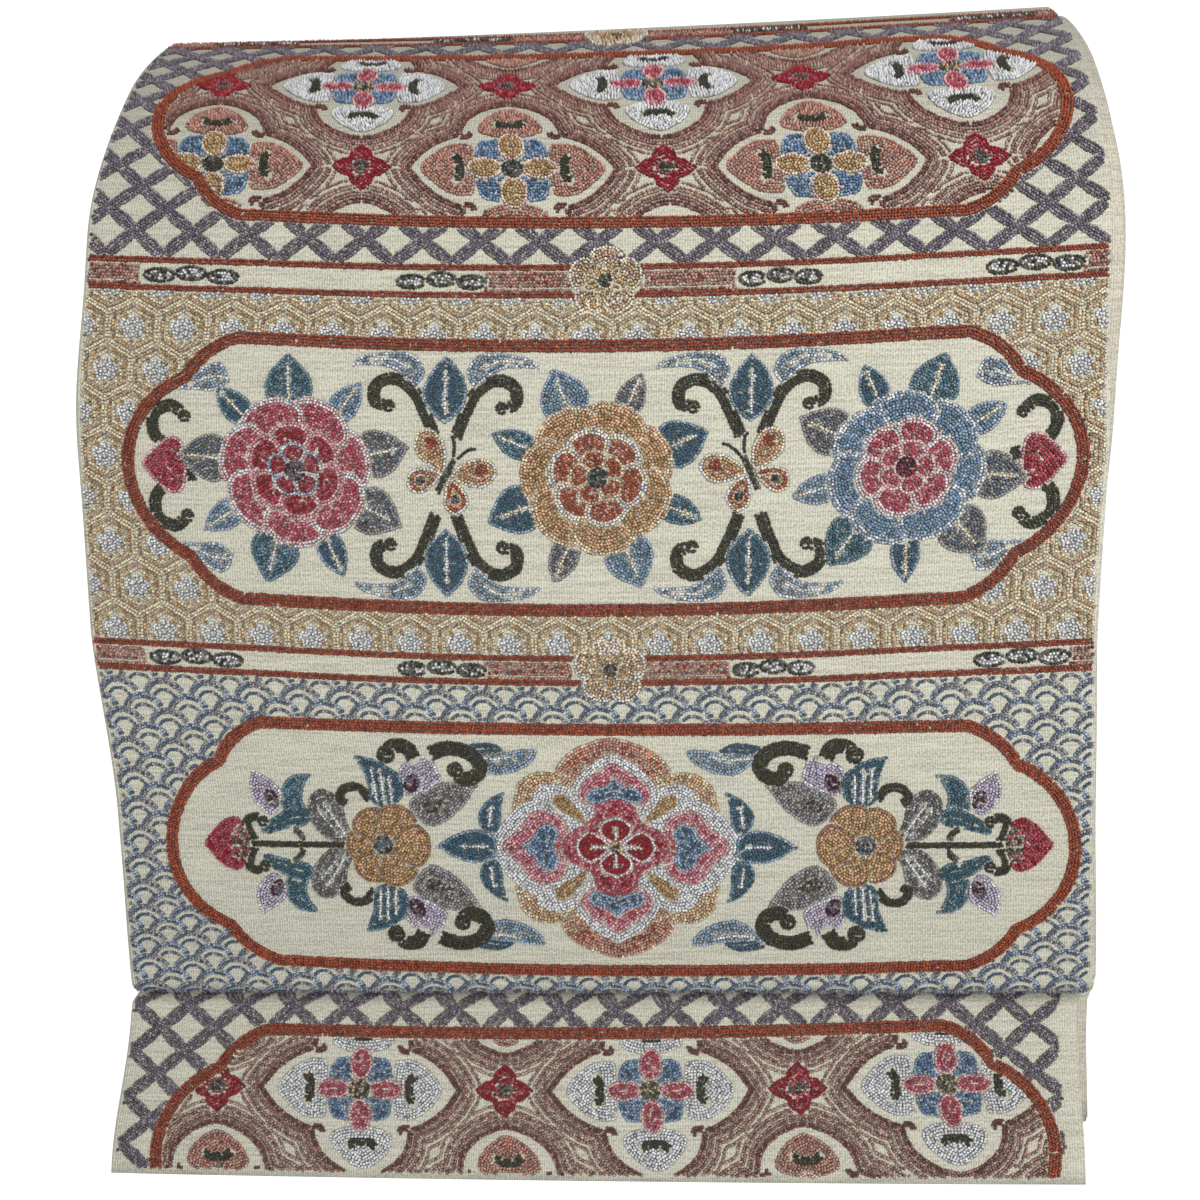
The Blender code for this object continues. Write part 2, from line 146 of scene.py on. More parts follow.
# Soft hollows and swells of the cloth: two ends, half width and depth.
DRUM_CREASES = (
    # across, along, across, along, half width, depth
    (-150.0, 22.0, 60.0, 14.0, 11.0, 0.7),
    (20.0, 26.0, 152.0, 30.0, 14.0, 0.5),
    (-152.0, 118.0, -40.0, 132.0, 20.0, 0.9),
    (30.0, 128.0, 150.0, 112.0, 24.0, 0.7),
    (-120.0, 206.0, 10.0, 228.0, 18.0, -0.6),
    (60.0, 238.0, 154.0, 214.0, 16.0, 0.8),
    (-150.0, 262.0, -70.0, 300.0, 18.0, 0.7),
    (90.0, 330.0, 150.0, 292.0, 16.0, -0.6),
    (-140.0, 470.0, 30.0, 500.0, 20.0, 1.1),
    (10.0, 560.0, 150.0, 520.0, 24.0, 0.9),
    (-150.0, 610.0, -20.0, 640.0, 18.0, 1.0),
    (40.0, 655.0, 152.0, 668.0, 14.0, 0.7),
)
TARE_CREASES = (
    (-150.0, 150.0, -30.0, 156.0, 9.0, 0.5),
    (20.0, 186.0, 150.0, 172.0, 14.0, 0.6),
    (-140.0, 200.0, -60.0, 182.0, 12.0, -0.5),
)


class Run:
    """A path in the Y-Z plane made of arcs and straights, each a length and a turn."""

    def __init__(self, start, heading, rows, side, creases=()):
        self.side = side  # +1 when the pattern faces left of the way the path runs
        self.creases = creases
        self.stops = np.concatenate(([0.0], np.cumsum([length for length, _ in rows])))
        self.bends = np.array([math.radians(turn) / length for length, turn in rows])
        states = [(start[0], start[1], math.radians(heading))]
        for (length, _), bend in zip(rows, self.bends):
            states.append(stepped(*states[-1], bend, length))
        self.states = np.array(states)

    def at(self, along, depth=0.0):
        """Points and outward normals at distances along, moved in from the pattern side."""
        along = np.asarray(along, dtype=float)
        index = np.clip(np.searchsorted(self.stops, along, side="right") - 1, 0, len(self.bends) - 1)
        start = np.moveaxis(self.states[index], -1, 0)
        y, z, heading = stepped(*start, self.bends[index], along - self.stops[index])
        out_y, out_z = -self.side * np.cos(heading), self.side * np.sin(heading)
        return y - out_y * depth, z - out_z * depth, out_y, out_z


def stepped(y, z, heading, bend, length):
    """Where a path gets to over one length, straight where its bend is nothing."""
    after = heading + bend * length
    straight = np.abs(bend) < 1e-9
    radius = 1.0 / np.where(straight, 1.0, bend)
    far_y = np.where(straight, length * np.sin(heading), (np.cos(heading) - np.cos(after)) * radius)
    far_z = np.where(straight, length * np.cos(heading), (np.sin(after) - np.sin(heading)) * radius)
    return y + far_y, z + far_z, after


DRUM = Run(DRUM_START, DOWN, DRUM_RUN, 1, DRUM_CREASES)
INNER = Run((DRUM_START[0], DRUM_START[1] + SEAM_GAP), UP, ((INNER_HEIGHT, 0.0),), -1)
TARE = Run(
    (DRUM_START[0], DRUM_START[1] + 2 * SEAM_GAP + INNER_HEIGHT), UP, TARE_RUN, -1, TARE_CREASES
)


def blended(rows, height):
    """The columns of a table at heights, eased between its rows."""
    heights = rows[:, 0]
    height = np.clip(height, heights[0], heights[-1])
    index = np.clip(np.searchsorted(heights, height, side="right") - 1, 0, len(rows) - 2)
    share = (height - heights[index]) / (heights[index + 1] - heights[index])
    share = (share * share * (3 - 2 * share))[..., None]
    low, high = rows[index, 1:], rows[index + 1, 1:]
    return np.moveaxis(low + (high - low) * share, -1, 0)


def bar_top():
    """Y and Z of the bar's top, under the middle of the folded layers: the part's origin."""
    roll = DRUM.stops[4]
    radius = 1.0 / DRUM.bends[4]
    y, z, _, _ = DRUM.at(roll, radius)
    top = float(z) + radius - PACK_GAP - PACK
    forward, droop, _, _, left_drop, right_drop = blended(DRAPE, np.array(top)).tolist()
    return float(y) - forward, top - droop - (left_drop + right_drop) / 2


ORIGIN_Y, ORIGIN_Z = bar_top()


def hung(across, y, z):
    """Points of a straight-hung sheet moved by the drape, in metres from the origin."""
    forward, droop, left, right, left_drop, right_drop = blended(DRAPE, z)
    share = across / CLOTH_WIDTH + 0.5
    middle = np.maximum(0.0, 1 - (2 * across / CLOTH_WIDTH) ** 2)
    x = across + left * (1 - share) + right * share
    z = z - droop * middle - left_drop * (1 - share) - right_drop * share
    return np.stack([x, y - forward * middle - ORIGIN_Y, z - ORIGIN_Z], -1) * MM


def swell(creases, across, along):
    """How far hollows and swells move the cloth in, by distance along its run."""
    sunk = np.zeros(np.broadcast(across, along).shape)
    for x0, s0, x1, s1, half, depth in creases:
        way = np.array([x1 - x0, s1 - s0])
        share = ((across - x0) * way[0] + (along - s0) * way[1]) / (way @ way)
        share = np.clip(share, 0.0, 1.0)
        off = np.hypot(across - x0 - share * way[0], along - s0 - share * way[1])
        sunk = sunk + depth * np.exp(-((off / half) ** 2)) * (0.6 + 0.4 * np.sin(math.pi * share))
    return sunk


def on_run(run, across, along, depth=0.0):
    """Points in metres on the cloth of a run, `depth` under its pattern side."""
    y, z, _, _ = run.at(along, depth + swell(run.creases, across, along))
    return hung(across, y, z)


def normals(run, across, along):
    """Outward normals of the cloth of a run."""
    reach = 0.5
    side = on_run(run, across + reach, along) - on_run(run, across - reach, along)
    up = on_run(run, across, along + reach) - on_run(run, across, along - reach)
    out = np.cross(side, up)
    out /= np.linalg.norm(out, axis=-1, keepdims=True)
    _, _, out_y, out_z = run.at(along)
    facing = np.sign(out[..., 1] * out_y + out[..., 2] * out_z)
    return out * facing[..., None]


# ---------------------------------------------------------------------------------------------
# Threads

THREADS = {
    # sRGB, 0 to 255
    "rust": (172, 86, 58),
    "brick": (150, 72, 52),
    "plum": (122, 112, 128),
    "mauve": (158, 150, 160),
    "smoke": (118, 116, 114),
    "pewter": (166, 164, 166),
    "ink": (58, 62, 58),
    "olive": (76, 74, 54),
    "umber": (124, 80, 72),
    "cocoa": (166, 126, 118),
    "fawn": (194, 166, 150),
    "tan": (206, 176, 134),
    "gold": (178, 140, 92),
    "cream": (236, 222, 194),
    "white": (232, 233, 238),
    "rose": (188, 84, 100),
    "pink": (216, 148, 162),
    "blush": (236, 196, 198),
    "crimson": (160, 34, 46),
    "salmon": (208, 148, 132),
    "apricot": (224, 180, 144),
    "blue": (116, 148, 186),
    "sky": (162, 182, 206),
    "denim": (80, 104, 134),
    "slate": (102, 114, 134),
    "teal": (68, 106, 122),
    "lake": (118, 148, 166),
    "lavender": (200, 190, 212),
    "wine": (84, 34, 62),
}
PITCH = 0.95  # from knot to knot
CLOSE = 0.3  # in knots, how near to a shape an earlier knot gives way to it
GRID_SHARE = 0.36  # in knots, the step of the grid of places that a fill tries
FILL_SPACING = 0.92  # in knots, the least from one to the next in a fill
LINE_SPACING = 0.8  # and in a line
SHADE_SPREAD = 0.17
COPY_SPREAD = 0.05
PLACE_SPREAD = 0.075
PILE_RANGE = (0.85, 1.15)
RIM_WIDTH = 3.8
RIM_GAP = 0.3
SELVEDGE = 153.6  # how far out the embroidery reaches


def linear(rgb):
    """A colour of 0 to 255 in linear light."""
    share = np.asarray(rgb, dtype=float) / 255.0
    return np.where(share <= 0.04045, share / 12.92, ((share + 0.055) / 1.055) ** 2.4)


PALETTE = {name: linear(shade) for name, shade in THREADS.items()}

# ---------------------------------------------------------------------------------------------
# Lines and outlines of the flat pattern, as arrays of (across, height)


CURVE_STEPS = 5  # from one point of an outline to the next


def eased(start, end, leaving, arriving, t):
    """A point of the curve that leaves its start and reaches its end in the ways given."""
    return (
        start * (2 * t**3 - 3 * t**2 + 1)
        + leaving * (t**3 - 2 * t**2 + t)
        + end * (3 * t**2 - 2 * t**3)
        + arriving * (t**3 - t**2)
    )


def smooth(points, closed=True):
    """A curve through points. A point with a third value is a corner."""
    xy = np.array([point[:2] for point in points], dtype=float)
    last = len(points) - 1
    found = []
    for i in range(last + closed):
        j = (i + 1) % (last + 1)
        a, b = xy[i], xy[j]
        before = a if len(points[i]) > 2 or not (closed or i) else xy[i - 1]
        after = b if len(points[j]) > 2 or not (closed or j < last) else xy[(j + 1) % (last + 1)]
        leaving, arriving = (b - before) / 2, (after - a) / 2
        found += [eased(a, b, leaving, arriving, k / CURVE_STEPS) for k in range(CURVE_STEPS)]
    return np.array(found if closed else [*found, xy[-1]])


def twinned(half, axis):
    """Points and then their mirror images run backwards. Axis 0 mirrors across, axis 1 up."""
    far = [
        tuple(-value if i == axis else value for i, value in enumerate(point))
        for point in reversed(half) if point[axis]
    ]
    return [*half, *far]


def upright(half, *foot):
    """An outline alike on its left and right."""
    return smooth([*twinned(half, 0), *foot])


def level(half):
    """An outline alike above and below."""
    return smooth(twinned(half, 1))


def fourfold(quarter):
    """An outline from its upper right quarter, which runs from the right to the top."""
    return smooth(twinned(twinned(quarter, 0), 1))


def moved(points, at=(0.0, 0.0), turn=0.0, scale=1.0, flip=(1, 1)):
    """Points flipped, scaled, turned in degrees and then set at a place."""
    angle = math.radians(turn)
    xy = np.asarray(points, dtype=float)[:, :2] * np.array(flip) * scale
    spin = np.array([[math.cos(angle), math.sin(angle)], [-math.sin(angle), math.cos(angle)]])
    return xy @ spin + np.array(at)


def oval(centre, half_wide, half_high=None, count=28, turn=0.0):
    """An ellipse, or a circle where only one radius is given."""
    half_high = half_wide if half_high is None else half_high
    angles = np.linspace(0.0, 2 * math.pi, count, endpoint=False)
    ring = np.stack([half_wide * np.cos(angles), half_high * np.sin(angles)], -1)
    return moved(ring, centre, turn)


def blossom(radius, petals, notch):
    """A round flower outline with lobes, its radius least between two petals."""
    angles = np.linspace(0.0, 2 * math.pi, petals * 12, endpoint=False)
    reach = radius * (1 - notch * (1 - np.sqrt(np.abs(np.cos(petals * angles / 2)))))
    return moved(np.stack([reach * np.cos(angles), reach * np.sin(angles)], -1), turn=90.0)


def inside(points, outline):
    """Which points lie in an outline."""
    x, y = points[:, 0][:, None], points[:, 1][:, None]
    ax, ay = outline[:, 0], outline[:, 1]
    bx, by = np.roll(ax, -1), np.roll(ay, -1)
    rise = np.where(by == ay, 1e-12, by - ay)
    crosses = ((ay > y) != (by > y)) & (x < (bx - ax) * (y - ay) / rise + ax)
    return crosses.sum(axis=1) % 2 == 1


def nearest(points, line, closed):
    """Distance, foot and distance along for the nearest place of a line to each point."""
    a = line if closed else line[:-1]
    b = np.roll(line, -1, axis=0) if closed else line[1:]
    way = b - a
    length = np.linalg.norm(way, axis=1)
    start = np.concatenate(([0.0], np.cumsum(length)[:-1]))
    square = np.maximum(length**2, 1e-12)
    gap = points[:, None, :] - a[None]
    share = np.clip((gap * way).sum(-1) / square, 0.0, 1.0)
    foot = a[None] + share[..., None] * way
    away = np.linalg.norm(points[:, None, :] - foot, axis=2)
    best = away.argmin(axis=1)
    rows = np.arange(len(points))
    along = start[best] + share[rows, best] * length[best]
    return away[rows, best], foot[rows, best], along


def travelled(points):
    """The distance along a line to each of its points."""
    return np.concatenate(([0.0], np.cumsum(np.linalg.norm(np.diff(points, axis=0), axis=1))))


def rows_along(line, spacing, start=0.0):
    """Places at an even spacing along a line, and the way it runs there."""
    along = travelled(line)
    marks = np.arange(start, along[-1] + 1e-6, spacing)
    places, ahead, behind = (
        np.stack([np.interp(marks + step, along, line[:, i]) for i in (0, 1)], -1)
        for step in (0.0, 0.2, -0.2)
    )
    way = ahead - behind
    way /= np.maximum(np.linalg.norm(way, axis=1, keepdims=True), 1e-9)
    return places, way


def banded(bands):
    """Bands as (threads, rows). A band of threads alone is one row, the last one all the rest."""
    bands = (bands,) if isinstance(bands, str) else bands
    return [(band, 1) if isinstance(band, str) else band for band in bands[:-1]] + [(bands[-1], 99)]


class Work:
    """Knots of one piece of embroidery, laid in order. Later ones take the place of earlier."""

    def __init__(self, seed):
        self.random = np.random.default_rng(SEED * 1000 + seed)
        self.rows = np.zeros((0, 6))  # across, height, red, green, blue and pile of each knot

    @property
    def places(self):
        return self.rows[:, :2]

    def add(self, places, threads, height):
        """Knots at places, each of one of the threads named, a little uneven."""
        if not len(places):
            return
        picked = np.array([PALETTE[name] for name in threads.split()])
        colours = picked[self.random.integers(0, len(picked), len(places))]
        shade = self.random.normal(1.0, SHADE_SPREAD, (len(places), 1))
        placed = places + self.random.normal(0, PLACE_SPREAD, places.shape)
        pile = height * self.random.uniform(*PILE_RANGE, (len(places), 1))
        self.join(np.hstack([placed, np.clip(colours * shade, 0.0, 1.0), pile]))

    def join(self, rows):
        """Adds rows of knots laid elsewhere."""
        self.rows = np.vstack([self.rows, rows])

    def keep(self, chosen):
        self.rows = self.rows[chosen]

    def trim(self, low, high, left=-SELVEDGE, right=SELVEDGE):
        """Keeps only the knots in a rectangle of the pattern."""
        x, y = self.places.T
        self.keep((x > left) & (x < right) & (y > low) & (y < high))

    def drop(self, around, reach, gone):
        """Takes out the knots near a line or an outline that a test picks."""
        low, high = around.min(axis=0) - reach, around.max(axis=0) + reach
        spots = np.flatnonzero(np.all((self.places > low) & (self.places < high), axis=1))
        if len(spots):
            stays = np.ones(len(self.rows), dtype=bool)
            stays[spots[gone(self.places[spots])]] = False
            self.keep(stays)

    def clear(self, outline, margin=CLOSE):
        """Takes out the knots in an outline and close around it, the margin in knots."""
        self.drop(outline, 2, lambda spots: (
            inside(spots, outline) | (nearest(spots, outline, True)[0] < margin * PITCH)
        ))

    def clip(self, outline):
        """Keeps only the knots inside an outline that a rim on it leaves room for."""
        away = nearest(self.places, outline, True)[0]
        self.keep(inside(self.places, outline) & (away > RIM_WIDTH / 2 + RIM_GAP))

    def thin(self, share=0.7):
        """Takes out knots that crowd an earlier one."""
        self.keep(spaced(self.places, PITCH * share))

    def fill(self, outline, bands, height=1.0, over=True):
        """Rows of knots that follow an outline inwards, in bands from its edge."""
        bands = banded(bands)
        if over:
            self.clear(outline)
        low, high = outline.min(axis=0), outline.max(axis=0)
        step = PITCH * GRID_SHARE
        axes = [np.arange(low[i], high[i] + step, step) for i in (0, 1)]
        grid = np.stack(np.meshgrid(*axes), -1).reshape(-1, 2)
        grid = grid[inside(grid, outline)]
        if len(grid):
            self.rows_of(grid, *nearest(grid, outline, True), bands, height)
        else:
            self.add(outline.mean(axis=0)[None], bands[-1][0], height)

    def rows_of(self, grid, away, foot, along, bands, height):
        """Knots in rows a pitch apart beside a line. A band without threads is a gap."""
        depth = away / PITCH
        row, band = np.zeros(len(grid)), np.full(len(grid), -1)
        first = 0.0
        for index, (threads, rows) in enumerate(bands):
            here = (depth >= first) & (depth < first + rows)
            if threads:
                row[here] = first + np.floor(depth[here] - first) + 0.5
                band[here] = index
            first += rows
        held = band >= 0
        out = (grid[held] - foot[held]) / np.maximum(away[held], 1e-6)[:, None]
        snapped = foot[held] + out * (row[held] * PITCH)[:, None]
        order = np.lexsort((along[held], row[held]))
        taken = spaced(snapped[order], PITCH * FILL_SPACING)
        snapped, band = snapped[order][taken], band[held][order][taken]
        for index, (threads, _) in enumerate(bands):
            self.add(snapped[band == index], threads, height)

    def line(self, line, width, threads, height=1.0, over=True):
        """Rows of knots side by side along a line."""
        if over:
            near = width / 2 + CLOSE * PITCH
            self.drop(line, width, lambda spots: nearest(spots, line, False)[0] < near)
        count = max(1, round(width / PITCH))
        fine, way = rows_along(line, PITCH / 3)
        aside = np.stack([-way[:, 1], way[:, 0]], -1) * PITCH
        places = np.vstack([
            rows_along(fine + aside * (row - (count - 1) / 2), PITCH, PITCH / 2 * (row % 2))[0]
            for row in range(count)
        ])
        self.add(places[spaced(places, PITCH * LINE_SPACING)], threads, height)

    def rim(self, outline, threads):
        """The closed line of a frame."""
        self.line(np.vstack([outline, outline[:1]]), RIM_WIDTH, threads, 1.0, False)

    def repeated(self, steps):
        """Rows of the work's knots copied to each step, those of each copy shaded anew."""
        random = np.random.default_rng(SEED * 1000 + len(steps) + 7)
        shades = random.normal(1.0, COPY_SPREAD, (len(steps), len(self.rows), 1))
        copies = np.stack([self.rows] * len(steps))
        copies[..., :2] += np.array(steps)[:, None]
        copies[..., 2:5] = np.clip(copies[..., 2:5] * shades, 0, 1)
        return copies.reshape(-1, 6)


def spaced(places, gap):
    """Which places to keep, in order, so that no two are nearer than the gap."""
    kept = {}
    chosen = np.zeros(len(places), dtype=bool)
    for index, (x, y) in enumerate(places.tolist()):
        column, row = int(x // gap), int(y // gap)
        crowded = (
            (px - x) ** 2 + (py - y) ** 2 < gap * gap
            for i in (column - 1, column, column + 1)
            for j in (row - 1, row, row + 1)
            for px, py in kept.get((i, j), ())
        )
        if not any(crowded):
            chosen[index] = True
            kept.setdefault((column, row), []).append((x, y))
    return chosen


# ---------------------------------------------------------------------------------------------
# Motifs. A shape is a fill of (outline, bands) or a line of (points, width, threads).

ONCE, SIDES, ENDS = ((1, 1),), ((1, 1), (-1, 1)), ((1, 1), (1, -1))
CORNERS = (*SIDES, (1, -1), (-1, -1))
DARK = "olive ink olive"
SCROLL_WIDTH = 3.0  # lines wider than this end in a curl


def filled(bands, *points):
    """A smooth shape filled with bands."""
    return smooth(points), bands


def hook(width, *points, threads=DARK):
    """A smooth line."""
    return smooth(points, False), width, threads


def vein(*points, threads="white"):
    """A straight line one knot wide."""
    return points, 0.9, threads


def lay(work, shapes, at, flips=ONCE, turn=0.0, scale=1.0, height=1.0):
    """Works shapes at a place, once for each flip, turned and scaled from the way they're drawn."""
    for flip in flips:
        for points, *how in shapes:
            points = moved(points, at, turn, scale, flip)
            if len(how) == 1:
                work.fill(points, how[0], height)
                continue
            width, threads = how
            work.line(points, width, threads)
            if width > SCROLL_WIDTH:
                work.fill(oval(points[-1], width * 0.6), threads)


FRAME_HALF_LENGTH = 143.5
FRAME_HALF_HEIGHT = 40.0
FRAME_STRAIGHT = 110.0
LOBE_RADIUS = 30.0
NOTCH_HEIGHT = 27.5
SHOULDER_BOW = 2.0


def frame_outline(across, height):
    """The rim's middle line: long straight sides, shoulders, notches and round ends."""
    centre = FRAME_HALF_LENGTH - LOBE_RADIUS
    quarter = [
        (centre + LOBE_RADIUS * math.cos(angle), LOBE_RADIUS * math.sin(angle))
        for angle in np.linspace(0.0, math.asin(NOTCH_HEIGHT / LOBE_RADIUS), 14)
    ]
    start, end = np.array(quarter[-1]), np.array((FRAME_STRAIGHT, FRAME_HALF_HEIGHT))
    out = np.array([end[1] - start[1], start[0] - end[0]])
    out /= np.linalg.norm(out)
    for share in np.linspace(0.1, 1.0, 10):
        bow = out * SHOULDER_BOW * 4 * share * (1 - share)
        quarter.append(tuple(start + (end - start) * share + bow))
    quarter += [(FRAME_STRAIGHT * share, FRAME_HALF_HEIGHT) for share in (0.66, 0.33, 0.0)]
    return np.array(twinned(twinned(quarter, 0), 1), dtype=float) + np.array([across, height])


# Lattice of quatrefoil cells, the rows half a step apart
CELL_STEP = 94.5
CELL_RISE = 79.0
CELL_LEAN = 0.12  # the rows under the first lie this share of their drop to the right
CELL = fourfold([
    (31.6, 0.0, 1), (28.4, 4.4), (23.4, 8.9), (18.6, 11.3), (15.4, 12.2, 1),
    (14.6, 16.4), (12.6, 20.6), (7.2, 25.0), (0.0, 27.2),
])
CELL_BANDS = (
    ("umber umber cocoa", 2), ("", 0.3), "cocoa", "cocoa fawn cocoa", ("", 0.45),
    ("cocoa fawn", 2), ("", 0.9), "fawn cocoa", "",
)
NOTCH_HOOK = smooth([(15.4, 12.2), (13.2, 12.4), (12.4, 14.2)], False)
STAR = fourfold([(9.8, 0.0, 1), (6.2, 2.9), (3.9, 3.7), (3.4, 5.6), (0.0, 8.6, 1)])
STAR_SHAPES = (
    (STAR, ("crimson", "crimson crimson rose")),
    (oval((0, 0), 3.0, 2.6), ("smoke rose", "smoke olive")),
)
QUARTER = smooth([(3.0, 3.0, 1), (12.2, 3.2), (12.6, 8.0), (10.8, 11.6), (7.8, 12.4), (3.0, 12.0)])
WHITE_LOBE = level([(11.2, -7.6), (13.4, -9.4), (17.6, -9.2), (22.6, -6.2), (27.0, 0.0)])
SALMON_LOBE = level([(12.0, -7.2), (14.6, -9.2), (19.6, -8.6), (24.6, -5.2), (28.8, 0.0)])
END_LOBE = upright([(9.4, 14.0), (9.9, 17.0), (6.8, 21.6), (0.0, 25.4)], (-4.0, 12.0), (4.0, 12.0))
SIDE_BRACKET = twinned([(17.6, 4.3), (16.3, 2.4)], 1)
END_BRACKET = twinned([(4.2, 18.2), (2.2, 16.8)], 0)
CELL_FLOWERS = (
    # side lobe, lobes, scale of the quarters, edge and inside of the cross, heart, cross's width
    (WHITE_LOBE, "white", 0.80, "blush blush pink", "rose pink rose", "smoke olive tan", 3.2),
    (SALMON_LOBE, "salmon fawn salmon cocoa", 0.88, "cream blush", "tan gold tan",
     "ink smoke olive", 3.8),
)


def lobed_flower(work, at, side, lobe, quarter, cross_edge, cross, heart, wide):
    """The four-lobed flower of a cell: lobes, blue quarters, a cross of petals and a heart."""
    lay(work, ((side, lobe), (SIDE_BRACKET, 2.4, DARK)), at, SIDES)
    lay(work, ((END_LOBE, lobe), (END_BRACKET, 2.4, DARK)), at, ENDS)
    lay(work, ((QUARTER, ("sky blue", "blue sky denim blue")),), at, CORNERS, 0.0, quarter)
    for sign in (1, -1):
        lay(work, (
            (oval((sign * 8.6, 0), 5.6, wide), (cross_edge, cross)),
            (oval((0, sign * 8.2), wide + 0.5, 5.3), (cross_edge, cross)),
        ), at)
    lay(work, ((oval((0, 0), 3.4, 3.2), heart),), at)


def cell_tile(seed):
    """The bands between cells over one repeat, about a cell in its middle."""
    quarter, work = Work(seed), Work(seed)
    step = PITCH * GRID_SHARE
    wide, high = CELL_STEP / 2, CELL_RISE / 2
    grid = np.stack(np.meshgrid(np.arange(0.2, wide, step), np.arange(0.2, high, step)), -1)
    grid = grid.reshape(-1, 2)
    cells = (CELL, moved(CELL, (wide, high)))
    grid = grid[~(inside(grid, cells[0]) | inside(grid, cells[1]))]
    here, there = (nearest(grid, cell, True) for cell in cells)
    nearer = here[0] <= there[0]
    away = np.where(nearer, here[0], there[0])
    foot = np.where(nearer[:, None], here[1], there[1])
    along = np.where(nearer, here[2], there[2] + 1000.0)
    quarter.rows_of(grid, away, foot, along, banded(CELL_BANDS), 1.0)
    for flip in CORNERS:
        work.join(quarter.rows * (*flip, 1, 1, 1, 1))
    for centre in ((0.0, 0.0), *((wide * x, high * y) for x, y in CORNERS)):
        for flip in CORNERS:
            notch = moved(NOTCH_HOOK, centre, 0.0, 1.0, flip)
            if np.all(np.abs(notch) <= (wide + 0.1, high + 0.1)):
                work.line(notch, 1.9, "umber")
    return work


@functools.cache
def lattice(lower, upper, origin, seed):
    """Bands, flowers and stars inside their frame, from one height up to another."""
    frame = outline_of("lattice")
    middle = frame[:, 0].mean()
    columns, rows = range(-2, 3), (-1, 0, 1)
    bands, flowers = Work(seed), Work(seed + 1)
    bands.join(cell_tile(seed).repeated([
        (origin[0] + CELL_STEP * i, origin[1] + CELL_RISE * j) for i in columns for j in rows
    ]))
    for i in columns:
        for half, flower in enumerate(CELL_FLOWERS):
            for j in rows:
                x, y = origin[0] + CELL_STEP * (i + half / 2), origin[1] + CELL_RISE * (j + half / 2)
                if abs(x - middle) < 170 and lower - 20 < y < upper + 20:
                    lobed_flower(flowers, (x, y), *flower)
                x += CELL_STEP / 2
                if abs(x - middle) < 150 and lower - 10 < y < upper + 10:
                    bands.clear(moved(STAR, (x, y)))
                    lay(flowers, STAR_SHAPES, (x, y))
    for work in (bands, flowers):
        work.trim(lower, upper, -math.inf, math.inf)
        work.places[:, 0] += CELL_LEAN * np.clip(origin[1] - work.places[:, 1], 0.0, 60.0)
        work.clip(frame)
    return bands, flowers


# Interlaced circles: strips of knots that cross and swell between the crossings
CIRCLE_STEP = 17.8
CIRCLE_RISE = 15.0
STRIP_ROWS = 4
STRIP_SWELL = (0.84, 0.30)  # a row's spacing at a crossing, and what it gains between two
STRIP_UNDER = 0.86  # how much of the upper strip's width the lower one leaves out


def circles(work, low, high, right, origin):
    """The ground of interlaced circles."""
    span_x, span_y = CIRCLE_STEP / 2, CIRCLE_RISE / 2
    length = math.hypot(span_x, span_y)
    per_span = round(length / PITCH)
    reach = int((right + SELVEDGE + high - low) / span_y) + 4
    count = reach * per_span
    along = np.arange(-count, count) * (length / per_span)
    swelling = STRIP_SWELL[0] + STRIP_SWELL[1] * np.sin(math.pi * along / length) ** 2
    over = np.array([-span_y, span_x]) / length
    apart = CIRCLE_STEP * span_y / length
    for slope in (1, -1):
        way = np.array([span_x, span_y * slope]) / length
        aside = np.array([-way[1], way[0]])
        for strip in range(-reach, reach):
            start = np.array([origin[0] + strip * CIRCLE_STEP, origin[1]])
            for row in range(STRIP_ROWS):
                off = (row - (STRIP_ROWS - 1) / 2) * PITCH * swelling
                shifted = along + PITCH / 2 * (row % 2)
                places = start + shifted[:, None] * way + off[:, None] * aside
                x, y = places.T
                held = (y > low) & (y < high) & (x > -SELVEDGE) & (x < right)
                if slope < 0:
                    across = (places - origin) @ over / apart
                    gap = np.abs(across - np.round(across)) * apart
                    held &= gap > STRIP_ROWS * PITCH / 2 * STRIP_UNDER
                outer = row in (0, STRIP_ROWS - 1)
                work.add(places[held], "mauve plum smoke" if outer else "plum plum mauve", 0.85)
    work.thin(0.6)


# Tortoise-shell hexagons with a blossom in each
HEXAGON_STEP = 15.4
HEXAGON_RISE = HEXAGON_STEP * math.sqrt(3) / 2
HEXAGON = np.array([
    (HEXAGON_STEP / math.sqrt(3) * math.sin(math.radians(60 * i)),
     HEXAGON_STEP / math.sqrt(3) * math.cos(math.radians(60 * i)))
    for i in range(6)
])
HEXAGON_BANDS = (
    ("cream", 0.99), ("", 0.25), ("gold tan fawn", 0.99), ("", 0.35),
    ("tan cream", 0.99), ("", 0.2), ("gold tan cocoa", 0.99), "",
)


def hexagons(work, low, high, right, origin):
    """The ground of hexagons."""
    tile = Work(41)
    tile.fill(HEXAGON, HEXAGON_BANDS, 0.85)
    tile.fill(blossom(3.9, 5, 0.26), "white", 1.15)
    first, last = (math.floor((end - origin[1]) / HEXAGON_RISE) for end in (low, high))
    work.join(tile.repeated([
        (origin[0] + column * HEXAGON_STEP + HEXAGON_STEP / 2 * (row % 2),
         origin[1] + row * HEXAGON_RISE)
        for row in range(first - 1, last + 2)
        for column in range(-11, 12)
    ]))
    work.trim(low, high, right=right)
    work.thin(0.66)


# Blue sea waves: fans in rows, each row over the one above it
WAVE_STEP = 14.4
WAVE_RISE = 4.6
WAVE_ARCS = (
    # radius, width, threads
    (6.4, 1.8, "pewter sky slate"),
    (3.7, 1.0, "slate pewter denim"),
)


